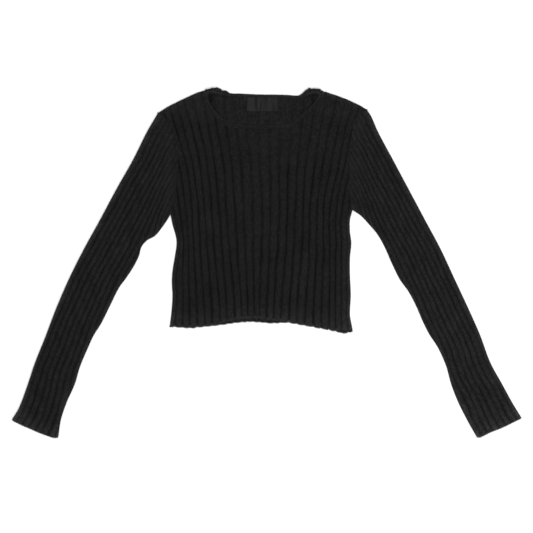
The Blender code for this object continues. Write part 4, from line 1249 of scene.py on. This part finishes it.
class Nodes:
    """Builds a material's node tree in short steps."""

    def __init__(self, name):
        self.material = bpy.data.materials.new(name)
        self.material.use_nodes = True
        self.tree = self.material.node_tree
        self.shader = self.tree.nodes["Principled BSDF"]

    def add(self, kind, output, inputs, **settings):
        """One node with its settings and inputs; returns one of its outputs."""
        node = self.tree.nodes.new("ShaderNode" + kind)
        for name, setting in settings.items():
            setattr(node, name, setting)
        for name, value in inputs.items():
            put(value, node.inputs[name])
        return Value(self.tree, node.outputs[output])

    def steps(self, value, low, high):
        """0 below low, 1 above high and smooth between."""
        ends = {"Value": value, "From Min": low, "From Max": high}
        return self.add("MapRange", 0, ends, interpolation_type="SMOOTHSTEP")

    def mix(self, part, first, second):
        return self.add("Mix", "Result", {"Factor": part, "A": first, "B": second}, data_type="RGBA")

    def noise(self, scale, detail, where=None):
        """Soft noise, by default at the place on the object."""
        where = where or self.add("TexCoord", "Object", {})
        return self.add("TexNoise", "Fac", {"Scale": scale, "Detail": detail, "Vector": where})

    def pair(self, x, y):
        return self.add("CombineXYZ", 0, {"X": x, "Y": y})

    def speckle(self, across, up):
        """A value of its own for each whole step of the two coordinates."""
        cell = self.pair(across.math("FLOOR"), up.math("FLOOR"))
        return self.add("TexWhiteNoise", "Value", {"Vector": cell}, noise_dimensions="2D")

    def knit_place(self, width, height):
        """Place on the knit, counted in steps of a width and a height in millimetres."""
        place = self.add("UVMap", 0, {}, uv_map="knit")
        axes = [self.add("SeparateXYZ", axis, {"Vector": place}) for axis in ("X", "Y")]
        return axes[0].math("DIVIDE", width * MM), axes[1].math("DIVIDE", height * MM)

    def shaded(self, colour):
        """The colour as light as the shade of each place says; that shade holds painted light and painted
        shade besides the yarn's own tone.
        """
        shade = self.add("Attribute", "Fac", {}, attribute_name="shade")
        return self.add("VectorMath", 0, {"Vector": colour, "Scale": shade}, operation="SCALE")

    def relief(self, height, depth, strength=1.0):
        """Bump of a height between 0 and 1, depth in millimetres."""
        bump = self.add("Bump", 0, {"Strength": strength, "Distance": depth * MM, "Height": height})
        bump.feed(self.shader.inputs["Normal"])

    def finish(self, colour, roughness, specular, sheen, sheen_roughness=0.5):
        """Sets the material's colour and gloss and returns it."""
        values = (colour, roughness, specular, sheen, sheen_roughness)
        for name, value in zip(FINISH_INPUTS, values):
            put(value, self.shader.inputs[name])
        return self.material


def grey(value):
    return (value, value, value, 1.0)


def knit_material(name, dark, light, ribbed):
    """Black yarn in rows of V stitches; in the grooves of a rib the stitches lie crosswise."""
    nodes = Nodes(name)
    wale, course = nodes.knit_place(WALE, COURSE)
    leg = (wale.math("FRACT") - 0.5).math("ABSOLUTE")
    phase = course - leg * 1.3
    stitch = leg.wave("SINE").math("POWER", 0.6) * (phase.wave("COSINE") * 0.35 + 0.65)
    if ribbed:
        rib = (wale * (1.0 / WALES_PER_RIB) + 0.5).math("FRACT")
        crest = nodes.steps((rib - 0.5).math("ABSOLUTE"), 0.05, 0.2)
        bar = course.wave("COSINE") * 0.3 + 0.4
        stitch = (stitch - bar) * crest + bar
    grain = nodes.noise(1500.0, 3.0)
    tufts = nodes.noise(300.0, 2.0) - 0.5
    patches = nodes.noise(24.0, 2.0) - 0.5
    # Fine streaks are five times as long as wide, along the wales.
    streaks = nodes.noise(620.0, 1.0, nodes.pair(wale * (WALE * MM), course * (COURSE * MM / 5.0))) - 0.5
    # The stitch term paints the low places between the stitches' legs darker, a painted shade; the other
    # terms are the yarn's own uneven tone.
    level = stitch * 0.5 + grain * 0.35 + nodes.speckle(wale, phase) * 0.15
    level = level + patches * 0.5 + tufts * 1.2 + streaks * 0.9
    nodes.relief(grain * 0.35 + stitch, KNIT_RELIEF, 0.9)
    return nodes.finish(nodes.shaded(nodes.mix(level, dark, light)), *YARN_GLOSS)


def yarn_material(name, dark, light):
    """Plain black yarn for seams and start edges."""
    nodes = Nodes(name)
    ply = nodes.noise(900.0, 2.0) * 0.6 + nodes.noise(2600.0, 3.0) * 0.4
    nodes.relief(ply, 0.25, 0.8)
    level = ply + (nodes.noise(260.0, 1.0) - 0.5) * 3.0
    return nodes.finish(nodes.mix(level, dark, light), *YARN_GLOSS)


def satin_material(name):
    """Blank black satin: fine close weft lines and a soft gloss."""
    nodes = Nodes(name)
    warp, weft = nodes.knit_place(0.6, 0.42)
    weave = weft.wave("SINE") * 0.35 + (warp.wave("SINE") * 0.15 + 0.5)
    level = weave * 0.5 + nodes.noise(60.0, 2.0) * 0.5
    nodes.relief(weave, 0.05, 0.6)
    colour = nodes.shaded(nodes.mix(level, grey(0.006), grey(0.019)))
    return nodes.finish(colour, 0.5, 0.06, 0.0, 0.3)


def floor_material():
    """Pale, even and matte."""
    nodes = Nodes("pale_floor")
    return nodes.finish(nodes.mix(nodes.noise(3.0, 2.0), grey(0.9), grey(0.93)), 0.9, 0.1, 0.0)


# -------- stage

def place_object(name, data, place):
    """A lamp or camera as an object at a place in metres."""
    thing = bpy.data.objects.new(name, data)
    thing.location = place
    bpy.context.scene.collection.objects.link(thing)
    return thing


def make_stage():
    """Pale floor, soft light from above and the camera straight over the garment."""
    bpy.ops.mesh.primitive_plane_add(size=FLOOR_SIZE, location=(0.0, 0.0, -FLOOR_DROP * MM))
    floor = bpy.context.object
    floor.name = "pale_floor_plane"
    floor.data.materials.append(floor_material())

    world = bpy.data.worlds.new("studio")
    world.use_nodes = True
    background = world.node_tree.nodes["Background"]
    background.inputs["Color"].default_value = grey(1.0)
    background.inputs["Strength"].default_value = WORLD_LIGHT
    bpy.context.scene.world = world

    for name, place, size, power in LAMPS:
        data = bpy.data.lights.new(name, "AREA")
        data.shape = "SQUARE"
        data.size = size
        data.energy = power
        lamp = place_object(name, data, place)
        lamp.rotation_euler = (-Vector(place)).to_track_quat("-Z", "Y").to_euler()

    data = bpy.data.cameras.new("overhead")
    data.sensor_width = SENSOR
    data.lens = SENSOR * CAMERA_HEIGHT / VIEW_WIDTH
    data.clip_end = 50.0
    camera = place_object("overhead", data, Vector((*VIEW_MIDDLE, CAMERA_HEIGHT)) * MM)
    bpy.context.scene.camera = camera
    bpy.context.scene.view_settings.view_transform = "Standard"


# -------- assembly

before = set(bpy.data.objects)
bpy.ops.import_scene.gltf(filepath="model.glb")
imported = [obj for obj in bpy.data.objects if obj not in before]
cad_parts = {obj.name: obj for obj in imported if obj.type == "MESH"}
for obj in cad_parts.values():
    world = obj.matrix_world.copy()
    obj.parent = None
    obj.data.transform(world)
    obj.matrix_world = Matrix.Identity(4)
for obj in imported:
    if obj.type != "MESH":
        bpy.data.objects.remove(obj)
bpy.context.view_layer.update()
make_stage()

rib_knit = knit_material("black_rib_knit", grey(0.0026), grey(0.0137), True)
band_knit = knit_material("black_band_knit", grey(0.0036), grey(0.0165), False)
edge_yarn = yarn_material("black_edge_yarn", grey(0.011), grey(0.048))
seam_yarn = yarn_material("black_seam_yarn", grey(0.0025), grey(0.011))
satin = satin_material("black_satin")

back, back_outline = make_back(rib_knit)
front, front_outline = make_front(rib_knit)
neckband = make_neckband(band_knit)
label = make_label(satin)
sleeves = {
    "wearers_right": Sleeve(-1, ARMHOLE_LEFT, OUTER_LEFT, INNER_LEFT, CUFF_LEFT, SLEEVE_RIBS_LEFT),
    "wearers_left": Sleeve(1, ARMHOLE_RIGHT, OUTER_RIGHT, INNER_RIGHT, CUFF_RIGHT, SLEEVE_RIBS_RIGHT),
}
sleeve_right = sleeves["wearers_right"].build("sweater_sleeve_wearers_right", rib_knit)
sleeve_left = sleeves["wearers_left"].build("sweater_sleeve_wearers_left", rib_knit)

for piece, node, slot in (
    (back, "back", "rib_knit"),
    (front, "front", "rib_knit"),
    (neckband, "neckband", "band_knit"),
    (label, "label", "label_satin"),
    (sleeve_right, "sleeve_wearers_right", "rib_knit"),
    (sleeve_left, "sleeve_wearers_left", "rib_knit"),
):
    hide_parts(node)
    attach(piece, "root")

stitching = {}
for sheet_name, piece in make_stitching(front_outline, back_outline, sleeves, edge_yarn, seam_yarn):
    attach(piece, "root")
    stitching.setdefault(sheet_name, []).append(piece)
